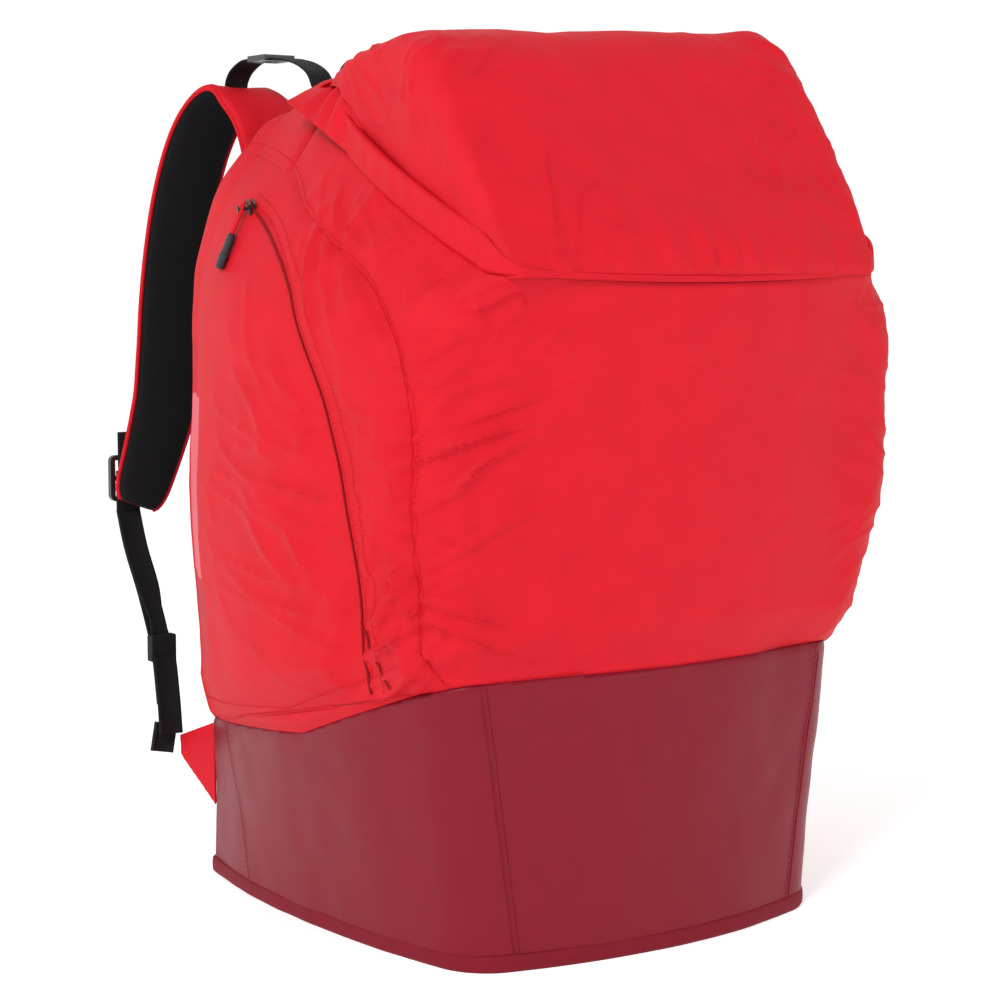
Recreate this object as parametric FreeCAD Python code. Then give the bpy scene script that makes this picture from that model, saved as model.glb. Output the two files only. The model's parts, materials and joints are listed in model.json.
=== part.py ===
import FreeCAD, Part
import math
import os

from FreeCAD import Placement, Rotation, Vector

os.makedirs("parts", exist_ok=True)

# Ski boot bag, in millimetres. +X is the viewer's right, -Y the front, +Y the wearer's back, +Z up.
# The origin is the middle of the underside. Left pieces are made first and mirrored to the right.

# ---------------------------------------------------------------- fabric shells
skin = 3.0                  # lined and padded fabric wall
floor_thickness = 3.0
seam_gap = 0.4              # between a sewn panel and a moving one

# ---------------------------------------------------------------- outline of the bag
floor_half = 150.0          # half-width at the front corners of the floor
floor_side_half = 171.0
floor_back_half = 160.0
floor_front_y = -193.0
corner_y = -172.0
back_y = 168.0
widest_y = -30.0
base_front_height = 194.0   # burgundy tub, at its front corners
base_middle_height = 141.0
base_back_height = 118.0
belly_side_half = 208.0
bag_side_half = 217.0       # widest point, over the side pockets
bag_front_y = -214.0
brim_front_y = -230.0
brim_z = 452.0
brim_half = 160.0
mouth_side_half = 150.0     # beside the middle of the mouth
mouth_back_half = 64.0
top_edge_y = -112.0
top_edge_z = 626.0
hinge_y = 32.0              # fabric hinge of the lid
hinge_z = 584.0
mouth_back_z = 572.0        # mouth plane at the hinge line
deck_z = 578.0
deck_back_z = 545.0

# ---------------------------------------------------------------- zips
tape_width = 11.0           # one half of a zip, tape and teeth
tape_thickness = 1.4
teeth_gap = 1.2             # free slot that the slider's wedge runs in
slider_length = 14.0
slider_width = 9.0
slider_plate = 1.6
slider_clear = 0.4
wedge = 0.7
mouth_zip_reach = 6.5       # from the mouth plane to the fabric edge on either side
storm_flap_stand = 6.0
storm_flap_reach = 4.0
lid_zip_travel = 190.0      # along the side of the mouth
pocket_zip_low = Vector(-181, -106, 183)
pocket_zip_mid = Vector(-208, -118, 300)
pocket_zip_top = Vector(-179, 64, 503)
park_turn = 7.0             # degrees of zip past each end of the pocket mouth, where the slider parks
fold_clearance = 4.0        # free strip along the fold of the pocket mouth

# ---------------------------------------------------------------- back and harness
pad_thickness = 11.0
strap_width = 54.0
strap_end_width = 42.0
strap_thickness = 11.0
web_width = 20.0
web_thickness = 1.6
lock_width = 28.0
lock_height = 36.0
lock_thickness = 4.5
lock_bar = 4.0
handle_half_span = 78.0
handle_height = 30.0
handle_width = 24.0
handle_thickness = 3.0
handle_y = 95.0

# ---------------------------------------------------------------- pull cords
pull_cord_d = 2.4
pull_lean = 32.0            # degrees that a hanging pull stands off the zip's plane
loop_drop = 19.0
grip_length = 25.0
grip_width = 9.0
grip_thickness = 6.0
knob_neck = 1.3
knob_head = 2.6

wide = 900.0                # longer than the bag, for cutting tools


def export(name, shape):
    """Writes one node, as its single solid where it has only one."""
    solids = shape.Solids
    shape = solids[0] if len(solids) == 1 else Part.makeCompound(solids)
    shape.exportStep("parts/" + name + ".step")
    print(name, len(solids), "solids", round(shape.Volume / 1000, 1), "cm3")


def mirrored(shape):
    return shape.mirror(Vector(0, 0, 0), Vector(1, 0, 0))


def export_pair(name, shape):
    """Writes the left piece and its mirror image."""
    export(name + "_left", shape)
    export(name + "_right", mirrored(shape))


def prism_x(points, half=wide):
    """Solid with an outline given as (y, z), from -half to +half along X."""
    corners = [Vector(-half, y, z) for y, z in points]
    face = Part.Face(Part.makePolygon(corners + corners[:1]))
    return face.extrude(Vector(2 * half, 0, 0))


def box(x0, x1, y0, y1, z0, z1):
    return Part.makeBox(x1 - x0, y1 - y0, z1 - z0, Vector(x0, y0, z0))


def soft_box(x0, x1, y0, y1, z0, z1, radius):
    """Padded block with its upright edges rounded."""
    block = box(x0, x1, y0, y1, z0, z1)
    edges = [e for e in block.Edges if abs(e.tangentAt(e.FirstParameter).y) > 0.9]
    return block.makeFillet(radius, edges)


def ribbon(points, widths, thickness, across):
    """Band through points, with its width along the across directions."""
    wires = []
    for i, centre in enumerate(points):
        before = points[max(i - 1, 0)]
        after = points[min(i + 1, len(points) - 1)]
        along = (after - before).normalize()
        side = Vector(across[i] if isinstance(across, list) else across)
        side = (side - along * side.dot(along)).normalize()
        normal = along.cross(side).normalize()
        width = widths[i] if isinstance(widths, list) else widths
        s = side * (width / 2)
        n = normal * (thickness / 2)
        corners = [centre - s - n, centre + s - n, centre + s + n, centre - s + n]
        wires.append(Part.makePolygon(corners + corners[:1]))
    return Part.makeLoft(wires, True, True)


# ---------------------------------------------------------------- outer form
# Each ring is an outline of the bag in a tilted plane: front_z is its height at the corners, back_z at the back.
mouth_slope = (mouth_back_z - brim_z) / (hinge_y - brim_front_y)


def mouth_height(y):
    return brim_z + mouth_slope * (y - brim_front_y)


def half_outline(corner, side_half, back_half, rounding, inset):
    """Seven points (x, y) round the right half of a ring: front corner, side and back corner."""
    front_round, back_round = rounding
    cx = corner[0] - inset
    cy = corner[1] + inset
    by = back_y - inset
    bx = back_half - inset
    sx = side_half - inset
    cut = 0.29
    return [
        (cx - front_round, cy - front_round * 0.14),
        (cx - front_round * cut, cy + front_round * cut * 0.7),
        (cx + (sx - cx) * 0.25, cy + front_round),
        (sx, widest_y),
        (bx, by - back_round),
        (bx - back_round * cut, by - back_round * cut),
        (bx - back_round, by),
    ]


def ring(front_y, corner, side_half, back_half, heights, rounding, inset=0.0):
    """Closed outline of eight arcs, moved inwards by inset."""
    front_z, back_z = heights
    slope = (back_z - front_z) / (back_y - corner[1])

    def at(x, y):
        return Vector(x, y, front_z + slope * (y - corner[1]))

    right = half_outline(corner, side_half, back_half, rounding, inset)
    p = [at(x, y) for x, y in right]
    q = [at(-x, y) for x, y in right]
    front = at(0, front_y + inset)
    edges = [
        Part.Arc(q[0], front, p[0]),
        Part.Arc(p[0], p[1], p[2]),
        Part.Arc(p[2], p[3], p[4]),
        Part.Arc(p[4], p[5], p[6]),
        Part.LineSegment(p[6], q[6]),
        Part.Arc(q[6], q[5], q[4]),
        Part.Arc(q[4], q[3], q[2]),
        Part.Arc(q[2], q[1], q[0]),
    ]
    return Part.Wire([e.toShape() for e in edges])


brim_corner_y = brim_front_y + 12
brim_corner = (brim_half, brim_corner_y)
brim_rounding = (22, 25)
rings = [
    (floor_front_y, (floor_half, corner_y), floor_side_half, floor_back_half, (0, 0), (30, 12)),
    (-200, (165, -169), 186, 156, (base_front_height, base_back_height), (30, 14)),
    (-207, (182, -178), belly_side_half, 170, (base_front_height + 26, base_back_height + 34), (30, 18)),
    (bag_front_y, (197, -188), bag_side_half, 181, (300, 290), (30, 20)),
    (bag_front_y - 10, (200, -190), bag_side_half - 3, 180, (400, 460), (30, 40)),
    (bag_front_y - 15, (188, -196), 196, 176, (434, 525), (30, 75)),
    (brim_front_y, brim_corner, mouth_side_half, mouth_back_half,
     (mouth_height(brim_corner_y), mouth_height(back_y)), brim_rounding),
]


def bag_form(inset):
    """The bag below the mouth plane as one solid."""
    return Part.makeLoft([ring(*r, inset=inset) for r in rings], True, True)


# Everything of the body lies under the deck behind the hinge, and under the mouth plane in front of it.
def under_deck(drop):
    return prism_x([
        (-wide, -1), (-wide, mouth_height(-wide)), (hinge_y + 2, mouth_height(hinge_y + 2)),
        (hinge_y + 2, deck_z - drop), (110, deck_z - 2 - drop), (back_y - 14, deck_back_z + 18 - drop),
        (back_y + 20, deck_back_z - 28 - drop), (back_y + 20, -1),
    ])


outer = bag_form(0.0).common(under_deck(0.0))
inner = bag_form(skin).common(under_deck(skin))
inner = inner.cut(box(-wide, wide, -wide, wide, -1, floor_thickness))
shell = outer.cut(inner)

# ---------------------------------------------------------------- seams that split the shell
below_base_seam = prism_x([
    (-wide, -1), (-wide, base_front_height + 2), (corner_y + 6, base_front_height),
    (-20, base_middle_height), (wide, base_back_height - 60), (wide, -1),
])
above_base_seam = box(-wide, wide, -wide, wide, -2, wide).cut(below_base_seam)
side_seam_y = -187.0
behind_side_seam = prism_x([
    (-166, 0), (-168, 200), (side_seam_y, 300), (side_seam_y, 400), (-165, 432), (-110, 458), (-20, 497),
    (45, 532), (wide, 560), (wide, 0),
])
back_strip = box(-wide, wide, back_y - 12, wide, -2, wide)
zip_reach = mouth_zip_reach * math.hypot(1, mouth_slope)
below_mouth_zip = prism_x([
    (-wide, -1), (-wide, mouth_height(-wide) - zip_reach), (hinge_y, mouth_height(hinge_y) - zip_reach),
    (hinge_y, wide), (wide, wide), (wide, -1),
])

base_tub = shell.common(below_base_seam).cut(box(-wide, wide, -wide, wide, -1, floor_thickness))
upper = shell.common(above_base_seam).common(below_mouth_zip)
back_panel = upper.common(back_strip)
upper = upper.cut(back_strip)
side_panels = upper.common(behind_side_seam)
upper = upper.cut(behind_side_seam)
front_panel = upper.common(box(-wide, wide, -wide, hinge_y, 0, wide))
yoke_panel = upper.cut(box(-wide, wide, -wide, hinge_y, 0, wide))

# ---------------------------------------------------------------- zip tracks
class Track:
    """Circular zip line from one point to another, in a plane with a chosen normal."""

    def __init__(self, first, between, last, normal):
        circle = Part.Arc(first, between, last).toShape().Curve
        self.centre = Vector(circle.Center)
        self.radius = circle.Radius
        self.normal = normal
        self.radial = (first - self.centre).normalize()
        self.tangent = normal.cross(self.radial)
        if self.tangent.dot(last - first) < 0:
            self.tangent = self.tangent * -1
        self.turn = self.degrees_at(last)

    def degrees_at(self, point):
        arm = point - self.centre
        return math.degrees(math.atan2(arm.dot(self.tangent), arm.dot(self.radial)))

    def point(self, radius, degrees, out=0.0):
        """Point beside the track; out is its distance from the plane, along the normal."""
        a = math.radians(degrees)
        return self.centre + (self.radial * math.cos(a) + self.tangent * math.sin(a)) * radius + self.normal * out

    def degrees_at_y(self, y):
        """Angle at which the rising part of the track reaches a distance along Y."""
        reach = self.radius * math.hypot(self.radial.y, self.tangent.y)
        peak = math.atan2(self.tangent.y, self.radial.y)
        return math.degrees(peak - math.acos((y - self.centre.y) / reach))

    def arc(self, radius, start, stop, out=0.0):
        ends = [start, (start + stop) / 2, stop]
        return Part.Arc(*[self.point(radius, a, out) for a in ends]).toShape()

    def line(self, radius, start, other_radius, stop, out):
        return Part.LineSegment(self.point(radius, start, out), self.point(other_radius, stop, out)).toShape()

    def sector(self, inner, outer, start, stop, low, high):
        """Piece of a flat ring beside the track, between two angles and two heights over its plane."""
        wire = Part.Wire([
            self.line(inner, start, outer, start, low), self.arc(outer, start, stop, low),
            self.line(outer, stop, inner, stop, low), self.arc(inner, start, stop, low)])
        return Part.Face(wire).extrude(self.normal * (high - low))

    def segment(self, radius, start, stop, low, high):
        """Area between the track and the straight line across its ends, as a thick plate."""
        wire = Part.Wire([self.arc(radius, start, stop, low), self.line(radius, stop, radius, start, low)])
        return Part.Face(wire).extrude(self.normal * (high - low))


# ---------------------------------------------------------------- side pocket's zip and mouth
chord = pocket_zip_top - pocket_zip_low
outward = (pocket_zip_mid - pocket_zip_low).cross(chord).normalize()
if outward.x > 0:
    outward = outward * -1
side_zip = Track(pocket_zip_low, pocket_zip_mid, pocket_zip_top, outward)
mouth_start = park_turn
mouth_stop = side_zip.turn - park_turn
through = 50.0              # cutting depth either side of the zip's plane
tape_outer = side_zip.radius + teeth_gap / 2 + tape_width
tape_inner = side_zip.radius - teeth_gap / 2 - tape_width
slot = side_zip.sector(tape_inner, tape_outer, 0, side_zip.turn, -through, through)
mouth_cut = side_zip.segment(tape_inner + 0.01, mouth_start, mouth_stop, -through, through)
left_half = box(-wide, -1, -wide, wide, -1, wide)
left_side = side_panels.common(left_half)
mouth_piece = side_zip.segment(tape_inner - seam_gap, mouth_start + 0.3, mouth_stop - 0.3, -through, through)
pocket_flap = left_side.common(mouth_piece)
left_side = left_side.cut(slot).cut(mouth_cut)

# a free strip along the fold, so that the flap turns without rubbing
fold_start = side_zip.point(tape_inner, mouth_start)
fold_stop = side_zip.point(tape_inner, mouth_stop)
fold = (fold_stop - fold_start).normalize()
toward_zip = outward.cross(fold).normalize()
if toward_zip.dot(side_zip.point(side_zip.radius, side_zip.turn / 2) - fold_start) < 0:
    toward_zip = toward_zip * -1
strip_corner = fold_start - fold * through - toward_zip - outward * through
fold_strip = Part.makePolygon([
    strip_corner, strip_corner + fold * wide, strip_corner + fold * wide + toward_zip * (fold_clearance + 1),
    strip_corner + toward_zip * (fold_clearance + 1), strip_corner])
pocket_flap = pocket_flap.cut(Part.Face(fold_strip).extrude(outward * 2 * through))
half_tape = tape_thickness / 2
pocket_zip_body = side_zip.sector(
    side_zip.radius + teeth_gap / 2, tape_outer - 0.2, 0, side_zip.turn, -half_tape, half_tape)
flap_tape_short = 8.0       # degrees that the flap's tape stops short of either end of the mouth
pocket_zip_flap = side_zip.sector(
    tape_inner + 0.2, side_zip.radius - teeth_gap / 2, mouth_start + flap_tape_short, mouth_stop - flap_tape_short,
    -half_tape, half_tape)

# ---------------------------------------------------------------- pocket slider and its pull
slider_start = side_zip.turn - park_turn / 2
half_angle = math.degrees(slider_length / 2 / side_zip.radius)
plate_low = half_tape + slider_clear
plate_high = plate_low + slider_plate


def slider_sector(half_width, half_turn, low, high):
    return side_zip.sector(side_zip.radius - half_width, side_zip.radius + half_width,
                           slider_start - half_turn, slider_start + half_turn, low, high)


pivot_height = plate_high + 4.2
pull_pivot = side_zip.point(side_zip.radius, slider_start, pivot_height)
knob_foot = side_zip.point(side_zip.radius, slider_start, plate_high - 0.3)
head_foot = side_zip.point(side_zip.radius, slider_start, pivot_height + 1.6)
pocket_slider = slider_sector(slider_width / 2, half_angle, plate_low, plate_high).fuse([
    slider_sector(slider_width / 2, half_angle, -plate_high, -plate_low),
    slider_sector(wedge / 2, half_angle / 2, -plate_low, plate_low),
    Part.makeCylinder(knob_neck, pivot_height + 1.7 - plate_high + 0.3, knob_foot, outward),
    Part.makeCylinder(knob_head, 1.2, head_foot, outward),
]).removeSplitter()

# the cord loop swivels round the knob; it hangs down the slope of the zip's plane and stands off it
downhill = Vector(0, 0, -1)
downhill = (downhill - outward * downhill.dot(outward)).normalize()
lean = math.radians(pull_lean)
pull_up = (downhill * math.cos(lean) + outward * math.sin(lean)) * -1
pull_across = pull_up.cross(outward).normalize()
pull_place = Placement(pull_pivot, Rotation(pull_across.cross(pull_up), pull_across, pull_up, "ZXY"))
pull_cord_points = [
    Vector(0, -1.6, -loop_drop), Vector(0, -3.4, -loop_drop * 0.56), Vector(0, -3.6, -1.0), Vector(0, -2.4, 5.0),
    Vector(0, 2.4, 5.0), Vector(0, 3.6, -1.0), Vector(0, 3.4, -loop_drop * 0.56), Vector(0, 1.6, -loop_drop),
]


def cord_tube(points, diameter):
    """Round cord along straight runs joined by tangent arcs."""
    edges = []
    last = points[0]
    for a, b, c in zip(points, points[1:], points[2:]):
        run = min((b - a).Length, (c - b).Length)
        u = (b - a).normalize()
        v = (c - b).normalize()
        turn = math.acos(max(-1.0, min(1.0, u.dot(v))))
        reach = 0.45 * run
        radius = reach / math.tan(turn / 2)
        print("   cord radius", round(radius, 1))
        start = b - u * reach
        stop = b + v * reach
        bisector = (v - u).normalize()
        middle = b + bisector * (radius / math.cos(turn / 2) - radius)
        edges.append(Part.LineSegment(last, start).toShape())
        edges.append(Part.Arc(start, middle, stop).toShape())
        last = stop
    edges.append(Part.LineSegment(last, points[-1]).toShape())
    path = Part.Wire(edges)
    ring_wire = Part.Wire(Part.Circle(points[0], points[1] - points[0], diameter / 2).toShape())
    return path.makePipeShell([ring_wire], True, True)


pull_cord = cord_tube([pull_place.multVec(p) for p in pull_cord_points], pull_cord_d)
grip = soft_box(-grip_thickness / 2, grip_thickness / 2, -grip_width / 2, grip_width / 2,
                -loop_drop - grip_length, -loop_drop, 1.5)
grip.Placement = pull_place
pull_cord = pull_cord.cut(grip)

# ---------------------------------------------------------------- inside the bag
floor_plan = Part.Face(ring(*rings[0]))
bottom_panel = floor_plan.extrude(Vector(0, 0, floor_thickness))
binding_height = 12.0
binding_thickness = 1.6
binding_outer = Part.makeLoft([ring(*rings[0], inset=-binding_thickness),
                               ring(*rings[0], inset=-binding_thickness).translated(Vector(0, 0, binding_height))],
                              True, True)
bottom_binding = binding_outer.cut(Part.makeLoft([ring(*r, inset=0) for r in rings[:2]], True, True))

wall_half = 168.0           # inner walls between the boots and the side pockets
wall_thickness = 2.0
wall_form = bag_form(skin + seam_gap).common(under_deck(skin + seam_gap)).common(above_base_seam)
wall_band = box(-wall_half, -wall_half + wall_thickness, -150, back_y - 14, 60, 520)
pocket_wall = wall_form.common(wall_band)
pocket_floor = wall_form.common(prism_x([
    (-160, 196), (-20, 146), (back_y - 14, 122), (back_y - 14, 124), (-20, 148), (-160, 198)])).common(
    box(-wide, -wall_half + 0.01, -wide, wide, 0, wide))
pocket_liner = pocket_wall.fuse(pocket_floor)

frame_sheet = soft_box(-118, 118, back_y - 10, back_y - 8, 22, 520, 25)
frame_stay = box(-10, 10, back_y - 13, back_y - 10, 40, 500)

# ---------------------------------------------------------------- lid, hinged behind the mouth
def lid_form(inset):
    plan = ring(brim_front_y, brim_corner, mouth_side_half, mouth_back_half, (0, 0), brim_rounding, inset=inset)
    column = Part.Face(plan).extrude(Vector(0, 0, wide))
    front = brim_front_y + inset
    profile = prism_x([
        (front, brim_z - 40), (front, brim_z + 8), (top_edge_y - 20, top_edge_z - 22 - inset),
        (top_edge_y, top_edge_z - 5 - inset), (top_edge_y + 22, top_edge_z - inset),
        (hinge_y - 1, hinge_z - 1 - inset), (hinge_y - 1, brim_z - 40),
    ])
    return column.common(profile)


above_mouth_zip = prism_x([
    (-wide, mouth_height(-wide) + zip_reach), (wide, mouth_height(wide) + zip_reach), (wide, 2 * wide),
    (-wide, 2 * wide),
])
lid_panel = lid_form(0.0).cut(lid_form(skin)).common(above_mouth_zip)

# zip round the mouth: its side is a circular track in the tilted plane of the mouth
mouth_up = Vector(0, -mouth_slope, 1).normalize()
mouth_right = half_outline(brim_corner, mouth_side_half, mouth_back_half, brim_rounding, 0.0)


def on_mouth(x, y, out=0.0):
    return Vector(x, y, mouth_height(y)) + mouth_up * out


mouth_zip = Track(*[on_mouth(x, y) for x, y in mouth_right[2:5]], mouth_up)
hinge_turn = mouth_zip.degrees_at_y(hinge_y)


def mouth_band(offset, thickness, low, high, shorter):
    """U-shaped band round the mouth, offset outwards from its edge; it ends that many degrees before the hinge."""
    def path(grow):
        back = mouth_zip.point(mouth_zip.radius + grow, hinge_turn - shorter, low)
        side = mouth_zip.point(mouth_zip.radius + grow, (hinge_turn - shorter) / 2, low)
        corner_back = mouth_zip.point(mouth_zip.radius + grow, 0, low)
        corner = on_mouth(mouth_right[1][0] + grow * 0.8, mouth_right[1][1] - grow * 0.6, low)
        corner_front = on_mouth(mouth_right[0][0], mouth_right[0][1] - grow, low)
        right = [back, side, corner_back, corner, corner_front]
        left = [Vector(-v.x, v.y, v.z) for v in right]
        front = on_mouth(0, brim_front_y - grow, low)
        triples = [(right[0], right[1], right[2]), (right[2], right[3], right[4]), (right[4], front, left[4]),
                   (left[4], left[3], left[2]), (left[2], left[1], left[0])]
        return [Part.Arc(*t).toShape() for t in triples], right[0], left[0]

    outside, outside_right, outside_left = path(offset + thickness)
    inside, inside_right, inside_left = path(offset)
    ends = [Part.LineSegment(outside_right, inside_right).toShape(),
            Part.LineSegment(outside_left, inside_left).toShape()]
    wire = Part.Wire(Part.__sortEdges__(outside + inside + ends))
    return Part.Face(wire).extrude(mouth_up * (high - low))


lid_zip_body = mouth_band(-tape_thickness, tape_thickness, -mouth_zip_reach, -teeth_gap / 2, 1.0)
lid_zip_lid = mouth_band(-tape_thickness, tape_thickness, teeth_gap / 2, mouth_zip_reach, 4.0)
storm_flap = mouth_band(storm_flap_stand, 2.0, -storm_flap_reach, mouth_zip_reach + 2, 4.0)
flap_root = mouth_band(1.7, storm_flap_stand - 1.7, mouth_zip_reach, mouth_zip_reach + 2, 4.0)
storm_flap = storm_flap.fuse(flap_root).removeSplitter()

# slider of the lid zip, parked behind the end of the lid's own tape on the right side
lid_park = hinge_turn - 2.4
lid_half_angle = math.degrees(slider_length / 2 / mouth_zip.radius)
outer_face = mouth_zip.radius + slider_clear
inner_face = mouth_zip.radius - tape_thickness - slider_clear


def lid_slider_sector(inner, outer, half_turn, half_height):
    return mouth_zip.sector(inner, outer, lid_park - half_turn, lid_park + half_turn, -half_height, half_height)


lid_slider = lid_slider_sector(outer_face, outer_face + slider_plate, lid_half_angle, slider_width / 2).fuse([
    lid_slider_sector(inner_face - slider_plate, inner_face, lid_half_angle, slider_width / 2),
    lid_slider_sector(inner_face, outer_face, lid_half_angle / 2, wedge / 2),
]).removeSplitter()
lid_pull = mouth_zip.sector(outer_face + slider_plate, outer_face + slider_plate + 1.6,
                            lid_park - 3.4, lid_park + lid_half_angle, -3, 3)
lid_slider_turn = math.degrees(lid_zip_travel / mouth_zip.radius)

# ---------------------------------------------------------------- back pads
pad_y = back_y + 0.3
back_pad = soft_box(-98, -26, pad_y, pad_y + pad_thickness, 160, 470, 22)
lumbar_pad = soft_box(-118, 118, pad_y, pad_y + pad_thickness, 52, 150, 26)

# ---------------------------------------------------------------- shoulder straps
across_x = Vector(1, 0, 0)
crest_y = 214.0
crest_z = 586.0
yoke_points = [
    Vector(-80, back_y + 9, 492), Vector(-84, back_y + 10, 530), Vector(-90, back_y + 16, 562),
    Vector(-98, back_y + 30, 582), Vector(-106, crest_y, crest_z),
]
strap_yoke = ribbon(yoke_points, [62, 62, 60, 56, strap_width], strap_thickness, across_x)
strap_points = [
    Vector(-108, crest_y + 4.8, crest_z - 2), Vector(-114, crest_y + 16, 574), Vector(-122, 242, 548),
    Vector(-130, 249, 510), Vector(-136, 252, 470), Vector(-140, 254, 430), Vector(-143, 254, 390),
    Vector(-148, 253, 352), Vector(-160, 251, 314), Vector(-176, 248, 274),
]
strap_widths = [strap_width] * 7 + [52, 47, strap_end_width]
strap_pad = ribbon(strap_points, strap_widths, strap_thickness, across_x)

# ladder lock on the outer face of the strap's end, with the webbing loop that holds it
lock_x = -178.0
lock_y = 251.0 + strap_thickness / 2 + 3.6
lock_z = 276.0
ladder_lock = soft_box(lock_x - lock_width / 2, lock_x + lock_width / 2, lock_y, lock_y + lock_thickness,
                       lock_z, lock_z + lock_height, 5)
window_half = lock_width / 2 - lock_bar
window = (lock_height - 3 * lock_bar) / 2
for n in range(2):
    low = lock_z + lock_bar + n * (window + lock_bar)
    ladder_lock = ladder_lock.cut(box(lock_x - window_half, lock_x + window_half, lock_y - 1,
                                      lock_y + lock_thickness + 1, low, low + window))
lock_loop = box(lock_x + 2 - web_width / 2, lock_x + 2 + web_width / 2, lock_y - 1.9, lock_y - 0.3,
                lock_z + lock_height - 10, lock_z + lock_height + 18)
web_stub = box(lock_x - web_width / 2, lock_x + web_width / 2, lock_y - 1.9, lock_y - 0.3,
               lock_z - 9, lock_z + lock_height - 12)

# lower webbing from the strap down to the red anchor at the base
tab_tip = Vector(-171, 206, 96)
web_points = [
    tab_tip + Vector(0, 0, 4), Vector(-170, 212, 130), Vector(-170, 220, 165), Vector(-173, 234, 205),
    Vector(-178, 246, 240), Vector(-178, lock_y - 2, lock_z - 12),
]
lower_web = ribbon(web_points, web_width, web_thickness, across_x)
tail_offset = Vector(0, 3.2, 0)
tail_points = [web_points[0] + tail_offset + Vector(-3, 4, 4)] + [p + tail_offset for p in web_points[1:]]
web_tail = ribbon(tail_points, web_width - 2, web_thickness, across_x)
tail_hem = box(-186, -166, 214.0, 218.5, 84, 104).cut(web_tail)
web_tail = web_tail.fuse(tail_hem)
keeper_middle = web_points[2] + Vector(0, 1.6, 0)
keeper = soft_box(keeper_middle.x - 12.5, keeper_middle.x + 12.5, keeper_middle.y - 5.4, keeper_middle.y + 5.4,
                  keeper_middle.z - 12, keeper_middle.z + 12, 1.0)
keeper = keeper.cut(ribbon([p + Vector(0, 1.6, 0) for p in web_points[1:4]], web_width + 1.5, 7.0, across_x))

tab_root = Vector(-155.8, back_y - 2.6, 0)
tab_corners = [
    tab_root + Vector(0, 0, 114), tab_root + Vector(0, 0, 50), tab_tip + Vector(8, 0, -14), tab_tip + Vector(0, 0, 2),
]
tab_normal = (tab_corners[1] - tab_corners[0]).cross(tab_corners[2] - tab_corners[0]).normalize()
flat_corners = [c - tab_normal * tab_normal.dot(c - tab_corners[0]) for c in tab_corners]
anchor_tab = Part.Face(Part.makePolygon(flat_corners + flat_corners[:1])).extrude(tab_normal * 2.4)

# ---------------------------------------------------------------- load lifters, from the deck to the strap's crest
lifter_lock_y = 178.0
lifter_low = [
    Vector(-91, 106, 590), Vector(-91, 122, 603), Vector(-91, 145, 611), Vector(-92, lifter_lock_y - 16, 613),
]
lifter_pack_web = ribbon(lifter_low, web_width, web_thickness, across_x)
lifter_high = [
    Vector(-94, lifter_lock_y + 16, 614), Vector(-97, 206, 612), Vector(-100, 214, 606),
    Vector(-101, 217, crest_z + strap_thickness / 2 + 1),
]
lifter_strap_web = ribbon(lifter_high, web_width, web_thickness, across_x).cut(strap_yoke)
lifter_lock = box(-106, -80, lifter_lock_y - 13, lifter_lock_y + 13, 0, 4.5)
for n in range(2):
    low = lifter_lock_y - 13 + 3.5 + n * 10.5
    lifter_lock = lifter_lock.cut(box(-102.5, -83.5, low, low + 8.5, -1, 6))
lifter_lock = lifter_lock.translated(Vector(0, 0, 611.5))

# ---------------------------------------------------------------- haul handle
foot_z = deck_z + 3.0
outer_r = 16.0


def arch(half, height, radius, y0, y1):
    """Plate with rounded upper corners, standing on the deck."""
    z1 = foot_z + height
    k = radius * (1 - math.sqrt(0.5))
    points = [Vector(-half, y0, foot_z), Vector(-half, y0, z1 - radius), Vector(-half + radius, y0, z1),
              Vector(half - radius, y0, z1), Vector(half, y0, z1 - radius), Vector(half, y0, foot_z)]
    edges = [
        Part.LineSegment(points[0], points[1]).toShape(),
        Part.Arc(points[1], Vector(-half + k, y0, z1 - k), points[2]).toShape(),
        Part.LineSegment(points[2], points[3]).toShape(),
        Part.Arc(points[3], Vector(half - k, y0, z1 - k), points[4]).toShape(),
        Part.LineSegment(points[4], points[5]).toShape(),
        Part.LineSegment(points[5], points[0]).toShape(),
    ]
    return Part.Face(Part.Wire(edges)).extrude(Vector(0, y1 - y0, 0))


haul_handle = arch(handle_half_span, handle_height, outer_r, handle_y - handle_width / 2, handle_y + handle_width / 2)
haul_handle = haul_handle.cut(arch(handle_half_span - handle_thickness, handle_height - handle_thickness,
                                   outer_r - handle_thickness, handle_y - handle_width, handle_y + handle_width))
# round feet, about the line that the handle turns on
handle_axis_z = foot_z + handle_width / 2
round_feet = Part.makeCylinder(handle_width / 2, 2 * wide, Vector(-wide, handle_y, handle_axis_z), across_x)
haul_handle = haul_handle.common(round_feet.fuse(box(-wide, wide, -wide, wide, handle_axis_z, wide)))

# ---------------------------------------------------------------- sternum strap, unclipped, each half hanging from its strap
sternum_z = 440.0
sternum_x = -128.0
sternum_y = 254.0 + strap_thickness / 2 + 3.6
sternum_loop = box(sternum_x - 13, sternum_x + 13, sternum_y - 2.7, sternum_y - 0.4, sternum_z - 2, sternum_z + 12)
sternum_web = box(sternum_x - 10, sternum_x + 10, sternum_y, sternum_y + web_thickness, sternum_z - 86, sternum_z + 8)
buckle_top = sternum_z - 86.3
buckle_socket = soft_box(sternum_x - 13.5, sternum_x + 13.5, sternum_y - 2.5, sternum_y + 5.5,
                         buckle_top - 28, buckle_top, 4)
buckle_socket = buckle_socket.cut(box(sternum_x - 10, sternum_x + 10, sternum_y - 0.7, sternum_y + 3.7,
                                      buckle_top - 29, buckle_top - 6))
prong_x = -sternum_x
buckle_prong = soft_box(prong_x - 13.5, prong_x + 13.5, sternum_y - 2.5, sternum_y + 5.5,
                        buckle_top - 12, buckle_top, 2)
prongs = [box(prong_x + sx - 2.2, prong_x + sx + 2.2, sternum_y - 0.2, sternum_y + 3.2, buckle_top - 34, buckle_top - 12)
          for sx in (-7.3, 7.3)]
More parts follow.
